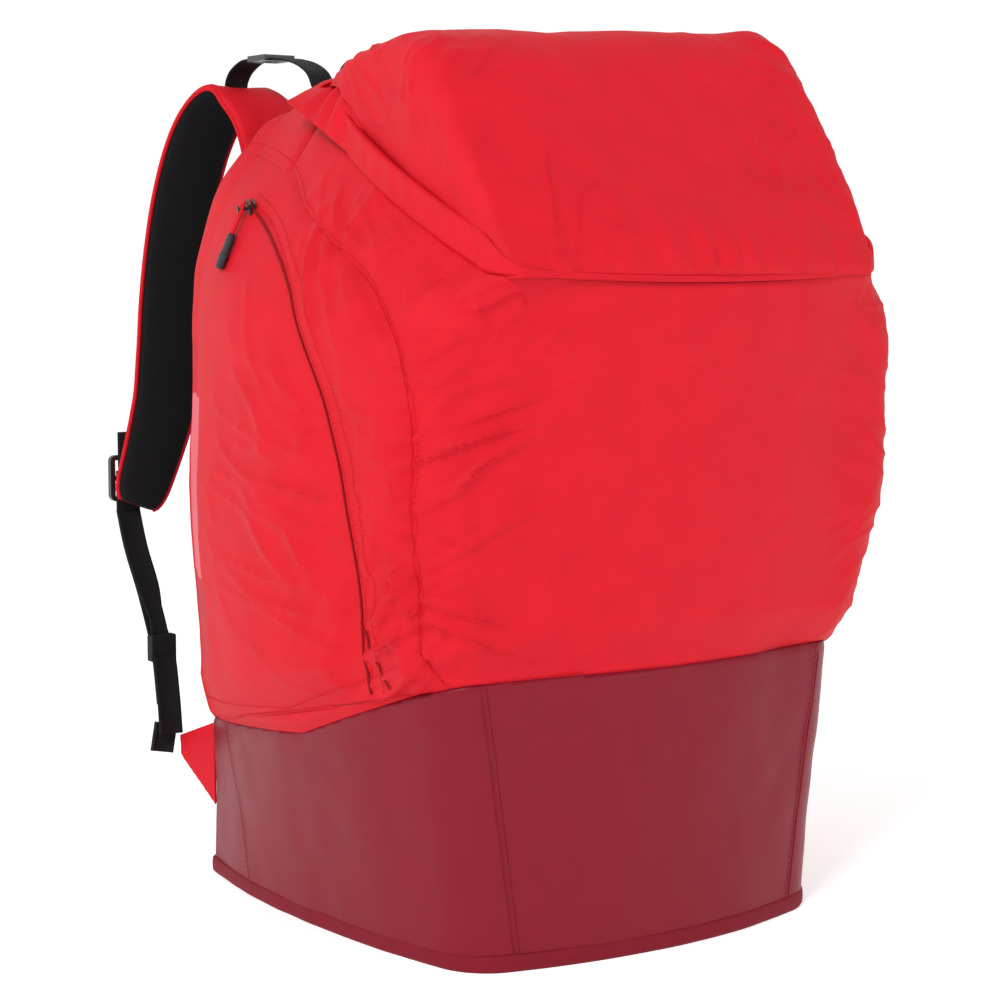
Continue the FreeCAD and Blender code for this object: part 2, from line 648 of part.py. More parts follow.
buckle_prong = buckle_prong.fuse(prongs + [
    box(prong_x - 1.5, prong_x + 1.5, sternum_y - 0.2, sternum_y + 3.2, buckle_top - 28, buckle_top - 12)]).removeSplitter()

# ---------------------------------------------------------------- write the parts
export("base_tub", base_tub)
export("bottom_panel", bottom_panel)
export("bottom_binding", bottom_binding)
export("front_panel", front_panel)
export("yoke_panel", yoke_panel)
export("back_panel", back_panel)
export_pair("side_panel", left_side)
export_pair("pocket_flap", pocket_flap)
export_pair("pocket_zip_body", pocket_zip_body)
export_pair("pocket_zip_flap", pocket_zip_flap)
export_pair("pocket_slider", pocket_slider)
export_pair("pull_cord", pull_cord)
export_pair("pull_grip", grip)
export_pair("pocket_liner", pocket_liner)
export("frame_sheet", frame_sheet)
export("frame_stay", frame_stay)
export_pair("back_pad", back_pad)
export("lumbar_pad", lumbar_pad)
export("lid_panel", lid_panel)
export("storm_flap", storm_flap)
export("lid_zip_body", lid_zip_body)
export("lid_zip_lid", lid_zip_lid)
export("lid_slider", lid_slider)
export("lid_pull", lid_pull)
export_pair("strap_yoke", strap_yoke)
export_pair("strap_pad", strap_pad)
export_pair("ladder_lock", ladder_lock)
export_pair("strap_loops", Part.makeCompound([lock_loop, web_stub, sternum_loop]))
export_pair("lower_web", lower_web)
export_pair("web_tail", web_tail)
export_pair("web_keeper", keeper)
export_pair("anchor_tab", anchor_tab)
export_pair("lifter_web", Part.makeCompound([lifter_pack_web, lifter_strap_web]))
export_pair("lifter_lock", lifter_lock)
export("haul_handle", haul_handle)
export_pair("sternum_web", sternum_web)
export("buckle_socket", buckle_socket)
export("buckle_prong", buckle_prong)


def show(name, vector):
    print(name, [round(c, 5) for c in vector])


show("side zip centre", side_zip.centre)
show("side zip normal", side_zip.normal)
print("side zip radius", side_zip.radius, "turn", side_zip.turn, "slider at", slider_start)
show("fold start", fold_start)
show("fold stop", fold_stop)
show("fold direction", fold)
show("toward zip", toward_zip)
show("pull pivot", pull_pivot)
show("pull up", pull_up)
show("mouth zip centre", mouth_zip.centre)
show("mouth up", mouth_up)
print("lid slider", lid_park, "travel in degrees", lid_slider_turn, "radius", mouth_zip.radius)
show("lid slider at", mouth_zip.point(mouth_zip.radius, lid_park))
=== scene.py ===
import json
import math

import bpy
import numpy as np
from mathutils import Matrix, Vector
from mathutils.bvhtree import BVHTree
from mathutils.kdtree import KDTree

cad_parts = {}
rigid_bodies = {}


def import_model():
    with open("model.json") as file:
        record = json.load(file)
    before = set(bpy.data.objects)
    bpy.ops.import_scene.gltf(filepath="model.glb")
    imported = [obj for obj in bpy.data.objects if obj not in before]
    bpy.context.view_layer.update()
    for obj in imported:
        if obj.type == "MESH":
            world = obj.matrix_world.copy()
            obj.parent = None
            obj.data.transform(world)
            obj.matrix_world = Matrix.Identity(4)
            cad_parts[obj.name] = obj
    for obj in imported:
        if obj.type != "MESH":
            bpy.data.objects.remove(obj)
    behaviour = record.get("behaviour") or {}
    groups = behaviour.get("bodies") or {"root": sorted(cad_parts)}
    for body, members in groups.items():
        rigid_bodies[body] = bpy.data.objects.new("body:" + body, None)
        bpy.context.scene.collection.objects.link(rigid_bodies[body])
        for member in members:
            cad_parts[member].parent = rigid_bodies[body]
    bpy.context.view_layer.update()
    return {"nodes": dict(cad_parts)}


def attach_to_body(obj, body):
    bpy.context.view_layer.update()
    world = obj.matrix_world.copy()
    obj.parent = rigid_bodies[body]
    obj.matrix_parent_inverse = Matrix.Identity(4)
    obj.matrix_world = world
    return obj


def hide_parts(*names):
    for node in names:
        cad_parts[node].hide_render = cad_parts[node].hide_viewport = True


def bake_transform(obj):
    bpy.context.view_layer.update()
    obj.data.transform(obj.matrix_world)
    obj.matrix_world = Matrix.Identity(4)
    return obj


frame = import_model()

bl_info = {
    "name": "Boot Bag Builder",
    "version": (1, 0, 0),
    "blender": (4, 5, 0),
    "location": "View3D > Sidebar > Boot Bag",
    "description": "Builds the fabric, webbing and hardware of a ski boot bag round its packed frame",
    "category": "Object",
}

SIDES = (("left", -1.0), ("right", 1.0))

# ------------------------------------------------------------------ outline of the bag, in metres
BACK_Y = 0.168
WIDEST_Y = -0.030
BRIM_Y = -0.230
BRIM_Z = 0.452
HINGE_Y = 0.032
MOUTH_SLOPE = (0.572 - BRIM_Z) / (HINGE_Y - BRIM_Y)
# each ring: front y, corner half-width, corner y, side half-width, back half-width,
# front z, back z, front and back roundings
RINGS = (
    (-0.193, 0.150, -0.172, 0.171, 0.160, 0.000, 0.000, 0.030, 0.012),
    (-0.200, 0.165, -0.169, 0.186, 0.156, 0.194, 0.118, 0.030, 0.014),
    (-0.207, 0.182, -0.178, 0.208, 0.170, 0.220, 0.152, 0.030, 0.018),
    (-0.214, 0.197, -0.188, 0.217, 0.181, 0.300, 0.290, 0.030, 0.020),
    (-0.224, 0.200, -0.190, 0.214, 0.180, 0.400, 0.460, 0.030, 0.040),
    (-0.229, 0.188, -0.196, 0.196, 0.176, 0.434, 0.525, 0.030, 0.075),
    (BRIM_Y, 0.160, BRIM_Y + 0.012, 0.150, 0.064, BRIM_Z + MOUTH_SLOPE * 0.012,
     BRIM_Z + MOUTH_SLOPE * (BACK_Y - BRIM_Y), 0.022, 0.025),
)
# (y, z) along the side
BASE_SEAM = ((-0.300, 0.196), (-0.166, 0.194), (-0.020, 0.141), (0.168, 0.118))
DECK = ((0.034, 0.578), (0.110, 0.576), (0.154, 0.563), (0.188, 0.517))
LID_PROFILE = ((-0.2300, 0.4530), (-0.2342, 0.4590), (-0.135, 0.601),
               (-0.112, 0.619), (-0.088, 0.625), (0.031, 0.583))
LAST_S = 5              # arc count at the back centre
FINE_STEPS = 800        # steps in which the rings are tabled
MOUTH_RING = 6
BACK_SEAM_Y = 0.1648    # where the side cloth is sewn to the back

# cloth, tape and thread
BODY_CLOTH = 0.0016
LID_CLOTH = 0.0018
THIN_CLOTH = 0.0012
MOUTH_TAPE = 0.0008
SEWN_TAPE = 0.0006
STITCH_GAP = 0.0011
WEBBING_WIDTH = 0.020
WEBBING_THICKNESS = 0.0017
LINING_GAP = 0.0042     # from the outer cloth in to the lining of the compartment
LID_LINING_GAP = 0.0036
BLACK = (0.012, 0.012, 0.013)
PALE_PRINT = (0.95, 0.42, 0.50, 1)
DARK_PRINT = (0.36, 0.03, 0.05, 1)
WHITE = (1, 1, 1, 1)


def mouth_z(y):
    """Height of the sloping plane of the mouth."""
    return BRIM_Z + MOUTH_SLOPE * (y - BRIM_Y)


def along(table, y):
    """Height read from a list of (y, z)."""
    ys, zs = zip(*table)
    return np.interp(y, ys, zs)


def deck_z(y):
    """Height of the deck behind the lid."""
    return np.minimum(mouth_z(y), along(DECK, y))


def arc_through(a, b, c, share):
    """Points at shares of the circle arc from a to c through b, all in one plane."""
    (ax, ay), (bx, by), (cx, cy) = a, b, c
    d = 2 * (ax * (by - cy) + bx * (cy - ay) + cx * (ay - by))
    ux = ((ax * ax + ay * ay) * (by - cy) + (bx * bx + by * by) * (cy - ay)
          + (cx * cx + cy * cy) * (ay - by)) / d
    uy = ((ax * ax + ay * ay) * (cx - bx) + (bx * bx + by * by) * (ax - cx)
          + (cx * cx + cy * cy) * (bx - ax)) / d
    radius = math.hypot(ax - ux, ay - uy)
    start = math.atan2(ay - uy, ax - ux)
    turns = [math.atan2(y - uy, x - ux) - start for x, y in ((bx, by), (cx, cy))]
    if turns[0] > 0:
        turns = [t % (2 * math.pi) for t in turns]
    else:
        turns = [-((-t) % (2 * math.pi)) for t in turns]
    if abs(turns[1]) < abs(turns[0]):
        turns[1] += math.copysign(2 * math.pi, -turns[1])
    angle = start + turns[1] * share
    return np.stack([ux + radius * np.cos(angle), uy + radius * np.sin(angle)], -1)


def ring_half(ring, s):
    """Right half of a ring at arc counts s, from the front centre (0) to the back centre (5)."""
    front_y, corner_x, corner_y, side_x, back_x, front_z, back_z, front_r, back_r = ring
    slope = (back_z - front_z) / (BACK_Y - corner_y)
    stretch = math.hypot(1.0, slope)
    cut = 0.29
    right = [
        (corner_x - front_r, corner_y - front_r * 0.14),
        (corner_x - front_r * cut, corner_y + front_r * cut * 0.7),
        (corner_x + (side_x - corner_x) * 0.25, corner_y + front_r),
        (side_x, WIDEST_Y),
        (back_x, BACK_Y - back_r),
        (back_x - back_r * cut, BACK_Y - back_r * cut),
        (back_x - back_r, BACK_Y),
    ]
    p = [(x, y * stretch) for x, y in right]
    front_left = (-p[0][0], p[0][1])
    out = np.zeros((len(s), 2))
    pieces = [
        (0, lambda f: arc_through(front_left, (0, front_y * stretch), p[0], 0.5 + f / 2)),
        (1, lambda f: arc_through(p[0], p[1], p[2], f)),
        (2, lambda f: arc_through(p[2], p[3], p[4], f)),
        (3, lambda f: arc_through(p[4], p[5], p[6], f)),
        (4, lambda f: np.array(p[6]) + (np.array([0, p[6][1]]) - np.array(p[6])) * f[:, None]),
    ]
    for k, piece in pieces:
        here = (s >= k) & ((s < k + 1) | (k == 4))
        out[here] = piece(s[here] - k)
    x = out[:, 0]
    y = out[:, 1] / stretch
    return np.stack([x, y, front_z + slope * (y - corner_y)], -1)


FINE_S = np.linspace(0, LAST_S, FINE_STEPS + 1)
RING_TABLE = np.stack([ring_half(r, FINE_S) for r in RINGS], 1)


def skin_at(s, t):
    """Point of the right half of the outer form, at arc count s and ring count t."""
    i = np.clip(s / LAST_S * FINE_STEPS, 0, FINE_STEPS - 0.001)
    i0 = i.astype(int)
    fs = (i - i0)[..., None]
    j0 = np.clip(t.astype(int), 0, len(RINGS) - 2)
    ft = (t - j0)[..., None]
    low = RING_TABLE[i0, j0] * (1 - fs) + RING_TABLE[i0 + 1, j0] * fs
    high = RING_TABLE[i0, j0 + 1] * (1 - fs) + RING_TABLE[i0 + 1, j0 + 1] * fs
    return low * (1 - ft) + high * ft


# ------------------------------------------------------------------ small tools
def soft_noise(points, size, seed):
    """Smooth noise from -1 to 1 at points, with features of that size; the same every run."""
    q = points / size + seed * 7.31
    cell = np.floor(q).astype(np.int64)
    f = q - cell
    f = f * f * (3 - 2 * f)
    total = np.zeros(q.shape[:-1])
    for dx in (0, 1):
        for dy in (0, 1):
            for dz in (0, 1):
                h = ((cell[..., 0] + dx) * 73856093) ^ ((cell[..., 1] + dy) * 19349663)
                h = (h ^ ((cell[..., 2] + dz) * 83492791) ^ (seed * 2654435)) & 0x7FFFFFFF
                h = (h * 1103515245 + 12345) & 0x7FFFFFFF
                w = np.where(dx, f[..., 0], 1 - f[..., 0]) * np.where(dy, f[..., 1], 1 - f[..., 1])
                total += w * np.where(dz, f[..., 2], 1 - f[..., 2]) * (h / 0x3FFFFFFF - 1)
    return total


def smooth_step(low, high, value):
    """0 below low, 1 above high, and an easy slope between."""
    t = np.clip((value - low) / (high - low), 0, 1)
    return t * t * (3 - 2 * t)


def grid_normals(p):
    """Unit normals of a grid of points, by its two directions."""
    du = np.gradient(p, axis=0)
    dv = np.gradient(p, axis=1)
    n = np.cross(du, dv)
    return n / np.maximum(np.linalg.norm(n, axis=-1, keepdims=True), 1e-12)


def smooth_path(points, count):
    """Even points on a soft curve through a few points."""
    p = np.asarray(points, float)
    p = np.vstack([2 * p[0] - p[1], p, 2 * p[-1] - p[-2]])
    out = []
    for k in range(1, len(p) - 2):
        for f in np.linspace(0, 1, 24, endpoint=False):
            a, b, c, d = p[k - 1], p[k], p[k + 1], p[k + 2]
            out.append(0.5 * (2 * b + (c - a) * f + (2 * a - 5 * b + 4 * c - d) * f * f
                              + (3 * b - a - 3 * c + d) * f ** 3))
    out.append(p[-2])
    out = np.array(out)
    run = np.concatenate([[0], np.cumsum(np.linalg.norm(np.diff(out, axis=0), axis=1))])
    even = np.linspace(0, run[-1], count)
    return np.stack([np.interp(even, run, out[:, k]) for k in range(3)], -1)


def new_piece(name, points, faces, material, uv=None):
    """A smooth-shaded mesh object of one material, with its cloth map in metres."""
    mesh = bpy.data.meshes.new(name)
    mesh.from_pydata([tuple(p) for p in points], [], [tuple(int(i) for i in f) for f in faces])
    if uv is not None:
        layer = mesh.uv_layers.new(name="Cloth")
        index = np.zeros(len(mesh.loops), np.int64)
        mesh.loops.foreach_get("vertex_index", index)
        layer.data.foreach_set("uv", np.asarray(uv, np.float32)[index].ravel())
    mesh.materials.append(material)
    mesh.polygons.foreach_set("use_smooth", [True] * len(mesh.polygons))
    mesh.validate()
    piece = bpy.data.objects.new(name, mesh)
    bpy.context.scene.collection.objects.link(piece)
    return piece


def grid_faces(rows, columns, close_rows=False, close_columns=False):
    """Four-sided faces between the points of a grid."""
    faces = []
    for i in range(rows if close_rows else rows - 1):
        for j in range(columns if close_columns else columns - 1):
            a, b = i * columns + j, i * columns + (j + 1) % columns
            c, d = ((i + 1) % rows) * columns + (j + 1) % columns, ((i + 1) % rows) * columns + j
            faces.append((a, b, c, d))
    return faces


def swept(name, path, across, section, material, widths=None, thicknesses=None):
    """Closed section of (side, height) swept along a path; across gives the side direction at each point."""
    path = np.asarray(path, float)
    along_path = np.gradient(path, axis=0)
    along_path /= np.linalg.norm(along_path, axis=1, keepdims=True)
    side = np.broadcast_to(np.asarray(across, float), path.shape).copy()
    side -= along_path * (side * along_path).sum(1, keepdims=True)
    side /= np.linalg.norm(side, axis=1, keepdims=True)
    up = np.cross(side, along_path)
    section = np.asarray(section, float)
    w = np.ones(len(path)) if widths is None else np.asarray(widths, float)
    h = np.ones(len(path)) if thicknesses is None else np.asarray(thicknesses, float)
    points = (path[:, None] + side[:, None] * section[None, :, :1] * w[:, None, None]
              + up[:, None] * section[None, :, 1:] * h[:, None, None])
    count = len(section)
    run = np.concatenate([[0], np.cumsum(np.linalg.norm(np.diff(path, axis=0), axis=1))])
    round_run = np.concatenate([[0], np.cumsum(np.linalg.norm(np.diff(section, axis=0), axis=1))])
    uv = np.stack(np.broadcast_arrays(round_run[None, :], run[:, None]), -1).reshape(-1, 2)
    faces = grid_faces(len(path), count, close_columns=True)
    faces.append(tuple(range(count - 1, -1, -1)))
    faces.append(tuple(range((len(path) - 1) * count, len(path) * count)))
    return new_piece(name, points.reshape(-1, 3), faces, material, uv)


def oval_section(width, height, power=4.0, count=28):
    """Oval of that width and height; a higher power makes it squarer."""
    a = np.linspace(0, 2 * math.pi, count, endpoint=False)
    c, s = np.cos(a), np.sin(a)
    return np.stack([np.sign(c) * np.abs(c) ** (2 / power) * width / 2,
                     np.sign(s) * np.abs(s) ** (2 / power) * height / 2], -1)


def web_section(width, height):
    """Flat webbing with round edges and a low rib near each edge."""
    half, h = width / 2, height / 2
    edge = [(-half, 0), (-half + h * 0.5, h * 0.85), (-half + h * 1.5, h)]
    edge += [(-half * 0.72, h * 0.9), (-half * 0.68, h * 0.72)]
    top = edge + [(0, h * 0.78)] + [(-x, z) for x, z in edge[:0:-1]]
    return top + [(-x, -z) for x, z in top]


def attach(piece, body, slot, *nodes):
    """Fixes a piece to a body and hides the plain nodes it stands for."""
    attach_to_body(piece, body)
    if nodes:
        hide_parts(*nodes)
    return piece


def bend_between(piece, bodies, start, end, slot, *nodes):
    """Bakes a piece's transform into its mesh and hides the plain nodes it stands for."""
    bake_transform(piece)
    if nodes:
        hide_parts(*nodes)
    return piece


def add_modifier(piece, kind, name, **values):
    """Adds a modifier with its settings."""
    modifier = piece.modifiers.new(name, kind)
    for key, value in values.items():
        setattr(modifier, key, value)
    return modifier


def stitches(name, lines, length, gap, width, material, lift=0.0004):
    """Row of short raised threads along lines of (points, normals)."""
    verts, faces = [], []
    for points, normals in lines:
        points = np.asarray(points, float)
        normals = np.asarray(normals, float)
        run = np.concatenate([[0], np.cumsum(np.linalg.norm(np.diff(points, axis=0), axis=1))])
        count = int(run[-1] / (length + gap))
        for k in range(count):
            at = k * (length + gap) + np.array([0.0, 0.5, 1.0]) * length
            p = np.stack([np.interp(at, run, points[:, c]) for c in range(3)], -1)
            n = np.stack([np.interp(at, run, normals[:, c]) for c in range(3)], -1)
            n /= np.linalg.norm(n, axis=1, keepdims=True)
            t = p[2] - p[0]
            t /= max(np.linalg.norm(t), 1e-9)
            base = len(verts)
            for m, (rise, half) in enumerate(((0.0, 0.45), (1.0, 1.0), (0.0, 0.45))):
                side = np.cross(n[m], t) * width / 2 * half
                middle = p[m] + n[m] * lift * (0.2 + rise)
                top = middle + n[m] * width * 0.35
                verts += [middle - side, top, middle + side, middle - n[m] * width * 0.5]
            for m in (0, 4):
                for e in range(4):
                    a, b = base + m + e, base + m + (e + 1) % 4
                    faces.append((a, b, b + 4, a + 4))
            faces += [(base + 3, base + 2, base + 1, base), (base + 8, base + 9, base + 10, base + 11)]
    return new_piece(name, verts, faces, material)


# ------------------------------------------------------------------ materials
def node_tree(name):
    """An empty material with its shader joined to the output."""
    material = bpy.data.materials.new(name)
    material.use_nodes = True
    tree = material.node_tree
    tree.nodes.clear()
    output = tree.nodes.new("ShaderNodeOutputMaterial")
    shader = tree.nodes.new("ShaderNodeBsdfPrincipled")
    tree.links.new(shader.outputs["BSDF"], output.inputs["Surface"])
    return material, tree, shader


def math_node(tree, operation, a, b=0.5):
    """Sum, product or test of two numbers or sockets."""
    node = tree.nodes.new("ShaderNodeMath")
    node.operation = operation
    for k, value in enumerate((a, b)):
        if isinstance(value, (int, float)):
            node.inputs[k].default_value = value
        else:
            tree.links.new(value, node.inputs[k])
    return node.outputs[0]


def mix_colour(tree, share, a, b):
    """Mix of two colours; each of the three may be a value or a socket."""
    node = tree.nodes.new("ShaderNodeMix")
    node.data_type = "RGBA"
    for key, value in ((0, share), (6, a), (7, b)):
        if isinstance(value, bpy.types.NodeSocket):
            tree.links.new(value, node.inputs[key])
        else:
            node.inputs[key].default_value = value
    return node.outputs[2]


def cloth_material(name, colour, roughness, pattern, size, relief, sheen=0.0, coat=0.0, variation=0.12,
                   prints=False):
    """Fabric, tape or coated cloth; pattern is weave, rib, mesh or grain, and size its period in metres."""
    material, tree, shader = node_tree(name)
    place = tree.nodes.new("ShaderNodeUVMap")
    place.uv_map = "Cloth"
    if pattern in ("weave", "rib"):
        waves = []
        for axis in ("X", "Y") if pattern == "weave" else ("Y",):
            wave = tree.nodes.new("ShaderNodeTexWave")
            wave.bands_direction = axis
            wave.inputs["Scale"].default_value = 0.31416 / size
            wave.inputs["Distortion"].default_value = 0.6
            wave.inputs["Detail Scale"].default_value = 2.0
            tree.links.new(place.outputs[0], wave.inputs["Vector"])
            waves.append(wave.outputs["Fac"])
        height = waves[0] if len(waves) == 1 else math_node(tree, "MULTIPLY", waves[0], waves[1])
    elif pattern == "mesh":
        cells = tree.nodes.new("ShaderNodeTexVoronoi")
        cells.inputs["Scale"].default_value = 1 / size
        cells.inputs["Randomness"].default_value = 0.15
        tree.links.new(place.outputs[0], cells.inputs["Vector"])
        height = math_node(tree, "MULTIPLY", cells.outputs["Distance"], 1.4)
    else:
        grain = tree.nodes.new("ShaderNodeTexNoise")
        grain.inputs["Scale"].default_value = 1 / size
        grain.inputs["Detail"].default_value = 3.0
        tree.links.new(place.outputs[0], grain.inputs["Vector"])
        height = grain.outputs["Fac"]
    cloud = tree.nodes.new("ShaderNodeTexNoise")
    cloud.inputs["Scale"].default_value = 34.0
    cloud.inputs["Detail"].default_value = 4.0
    tree.links.new(place.outputs[0], cloud.inputs["Vector"])
    light = (*[min(1.0, c * (1 + variation) + variation * 0.02) for c in colour], 1)
    dark = (*[c * (1 - variation) for c in colour], 1)
    tint = mix_colour(tree, cloud.outputs["Fac"], dark, light)
    thread = mix_colour(tree, math_node(tree, "MULTIPLY", height, 0.35 if pattern != "mesh" else 0.9), tint,
                        (*[c * 0.55 for c in colour], 1) if pattern != "mesh" else (0.004, 0.004, 0.004, 1))
    if prints:
        thread = side_print(tree, thread)
    tree.links.new(thread, shader.inputs["Base Color"])
    rough = math_node(tree, "ADD", math_node(tree, "MULTIPLY", cloud.outputs["Fac"], 0.12), roughness - 0.06)
    tree.links.new(rough, shader.inputs["Roughness"])
    bump = tree.nodes.new("ShaderNodeBump")
    bump.inputs["Strength"].default_value = relief
    bump.inputs["Distance"].default_value = size * 0.3
    tree.links.new(height, bump.inputs["Height"])
    tree.links.new(bump.outputs[0], shader.inputs["Normal"])
    shader.inputs["Sheen Weight"].default_value = sheen
    shader.inputs["Sheen Roughness"].default_value = 0.35
    shader.inputs["Sheen Tint"].default_value = (*[min(1.0, c * 1.5 + 0.15) for c in colour], 1)
    shader.inputs["Coat Weight"].default_value = coat
    shader.inputs["Coat Roughness"].default_value = 0.32
    shader.inputs["Specular IOR Level"].default_value = 0.15
    return material


def side_print(tree, under):
    """Pale block with a darker end and fading bars, printed near the back edge of the sides."""
    place = tree.nodes.new("ShaderNodeTexCoord")
    split = tree.nodes.new("ShaderNodeSeparateXYZ")
    tree.links.new(place.outputs["Object"], split.inputs[0])
    y, z = split.outputs["Y"], split.outputs["Z"]
    beside = math_node(tree, "MULTIPLY", math_node(tree, "GREATER_THAN", y, 0.088),
                       math_node(tree, "LESS_THAN", y, 0.149))

    def band(low, high):
        """1 between two heights on the printed strip."""
        inside = math_node(tree, "MULTIPLY", math_node(tree, "GREATER_THAN", z, low),
                           math_node(tree, "LESS_THAN", z, high))
        return math_node(tree, "MULTIPLY", inside, beside)

    out = mix_colour(tree, math_node(tree, "MULTIPLY", band(0.236, 0.366), 0.30), under, PALE_PRINT)
    out = mix_colour(tree, math_node(tree, "MULTIPLY", band(0.206, 0.236), 0.45), out, DARK_PRINT)
    bars = math_node(tree, "FRACT", math_node(tree, "MULTIPLY", z, 180.0))
    bars = math_node(tree, "GREATER_THAN", bars, 0.55)
    faded = math_node(tree, "MULTIPLY", band(0.166, 0.206), bars)
    return mix_colour(tree, math_node(tree, "MULTIPLY", faded, 0.4), out, DARK_PRINT)


def hard_material(name, colour, roughness, metallic=0.0, coat=0.0):
    """Moulded plastic, rubber or metal with a fine grain."""
    material, tree, shader = node_tree(name)
    place = tree.nodes.new("ShaderNodeTexCoord")
    grain = tree.nodes.new("ShaderNodeTexNoise")
    grain.inputs["Scale"].default_value = 900.0
    grain.inputs["Detail"].default_value = 2.0
    tree.links.new(place.outputs["Object"], grain.inputs["Vector"])
    shader.inputs["Base Color"].default_value = (*colour, 1)
    tree.links.new(math_node(tree, "ADD", math_node(tree, "MULTIPLY", grain.outputs["Fac"], 0.14),
                             roughness - 0.07),
                   shader.inputs["Roughness"])
    bump = tree.nodes.new("ShaderNodeBump")
    bump.inputs["Strength"].default_value = 0.08
    bump.inputs["Distance"].default_value = 0.0002
    tree.links.new(grain.outputs["Fac"], bump.inputs["Height"])
    tree.links.new(bump.outputs[0], shader.inputs["Normal"])
    shader.inputs["Metallic"].default_value = metallic
    shader.inputs["Coat Weight"].default_value = coat
    shader.inputs["Coat Roughness"].default_value = 0.15
    return material


MATERIALS = {}


def material(slot, prints=False):
    """The one material of each slot, made when first asked for."""
    key = slot + ("_print" if prints else "")
    if key in MATERIALS:
        return MATERIALS[key]
    looks = bpy.context.scene.boot_bag_fabric
    red, burgundy = tuple(looks.red), tuple(looks.burgundy)
    makers = {
        "red_fabric": lambda: cloth_material(key, red, 0.58, "weave", looks.weave, 0.40, sheen=0.015,
                                             prints=prints),
        "burgundy_fabric": lambda: cloth_material(key, burgundy, 0.42, "grain", 0.0012, 0.10, sheen=0.02,
                                                  coat=0.06, variation=0.08),
        "burgundy_binding": lambda: cloth_material(key, burgundy, 0.62, "rib", 0.0012, 0.6, sheen=0.04),
        "back_mesh": lambda: cloth_material(key, BLACK, 0.8, "mesh", 0.0026, 0.8, sheen=0.05),
        "strap_fabric": lambda: cloth_material(key, BLACK, 0.8, "mesh", 0.0022, 0.7, sheen=0.04),
        "lining": lambda: cloth_material(key, (0.05, 0.05, 0.055), 0.65, "weave", 0.0012, 0.3, sheen=0.1),
        # Dark red of the zips: partly their own colour, partly painted shade of the zip gap; on the pocket
        # end seams it is painted shade of the seam line.
        "zip_tape": lambda: cloth_material(key, tuple(c * 0.45 for c in red), 0.7, "rib", 0.0011, 0.8),
        "webbing": lambda: cloth_material(key, BLACK, 0.62, "rib", 0.0014, 0.8, sheen=0.08),
        "red_webbing": lambda: cloth_material(key, red, 0.6, "rib", 0.0012, 0.5, sheen=0.2),
        "moulded_plastic": lambda: hard_material(key, BLACK, 0.28, coat=0.25),
        "zip_slider": lambda: hard_material(key, (0.03, 0.03, 0.032), 0.35, metallic=0.5),
        "pull_cord": lambda: cloth_material(key, red, 0.6, "grain", 0.0006, 0.4, sheen=0.2),
        "grip_rubber": lambda: hard_material(key, (0.016, 0.016, 0.017), 0.5),
        "stiffener": lambda: hard_material(key, (0.03, 0.03, 0.032), 0.6),
        "stay_aluminium": lambda: hard_material(key, (0.62, 0.63, 0.65), 0.3, metallic=1.0),
    }
    MATERIALS[key] = makers[slot]()
    return MATERIALS[key]


# ------------------------------------------------------------------ the skin of the bag, cut into its panels
SIDE_SEAM = smooth_path([(0, -0.158, 0.020), (0, -0.160, 0.196), (0, -0.166, 0.250), (0, -0.171, 0.310),
                         (0, -0.172, 0.365), (0, -0.164, 0.405), (0, -0.140, 0.434), (0, -0.110, 0.456),
                         (0, -0.020, 0.497), (0, 0.045, 0.530), (0, 0.185, 0.553)], 160)
# three points that fix the plane of the left pocket zip, and its circle in that plane
ZIP_LOW, ZIP_MID, ZIP_TOP = (np.array(v) for v in
                             ((-0.181, -0.106, 0.183), (-0.208, -0.118, 0.300), (-0.179, 0.064, 0.503)))
ZIP_CENTRE = np.array((-0.12329876, 0.09793271, 0.27946262))
ZIP_RADIUS = 0.232858
ZIP_TURN = 102.168
ZIP_FREE = 7.0          # degrees at each end where the pocket mouth stays sewn
FOLD_INNER = 0.004
TAPE_SHIFT = 0.0050     # from the zip line to the middle of each tape
TAPE_DEPTH = -0.0045    # the tapes lie under the cloth


def mirror(points, keep):
    """Left-side points as they are for 1, or on the right side for -1."""
    return np.asarray(points, float) * np.array([keep, 1.0, 1.0])


def zip_frame():
    """Two directions in the plane of the pocket zip's circle, and the way out of the bag."""
    out = np.cross(ZIP_MID - ZIP_LOW, ZIP_TOP - ZIP_LOW)
    out /= np.linalg.norm(out)
    if out[0] > 0:
        out = -out
    e1 = (ZIP_LOW - ZIP_CENTRE) / ZIP_RADIUS
    e2 = np.cross(out, e1)
    if (ZIP_TOP - ZIP_CENTRE) @ e2 < 0:
        e2 = -e2
    return e1, e2, out


def zip_point(degrees, radial=0.0):
    """Points along the left pocket zip, by degrees from its low end."""
    e1, e2, _ = zip_frame()
    a = np.radians(np.asarray(degrees, float))[..., None]
    return ZIP_CENTRE + (ZIP_RADIUS + radial) * (np.cos(a) * e1 + np.sin(a) * e2)


FOLD_START = zip_point(np.array(ZIP_FREE))
FOLD_STOP = zip_point(np.array(ZIP_TURN - ZIP_FREE))


def seam_distance(p, line):
    """Signed distance in the (y, z) plane to a seam; positive below and behind it."""
    yz = p[..., 1:].reshape(-1, 2)
    best = np.full(len(yz), 1e9)
    sign = np.ones(len(yz))
    for a, b in zip(line[:-1, 1:], line[1:, 1:]):
        d = b - a
        f = np.clip(((yz - a) @ d) / (d @ d), 0, 1)
        away = yz - a - f[:, None] * d
        distance = np.hypot(away[:, 0], away[:, 1])
        closer = distance < best
        best[closer] = distance[closer]
        sign[closer] = np.sign(d[1] * away[closer, 0] - d[0] * away[closer, 1])
    return (best * np.where(sign == 0, 1, sign)).reshape(p.shape[:-1])


def base_field(p):
    """Height over the seam of the base."""
    return p[..., 2] - along(BASE_SEAM, p[..., 1])


def side_field(p):
    """Positive on the side panels, negative on the front and the yoke."""
    return seam_distance(p, SIDE_SEAM)


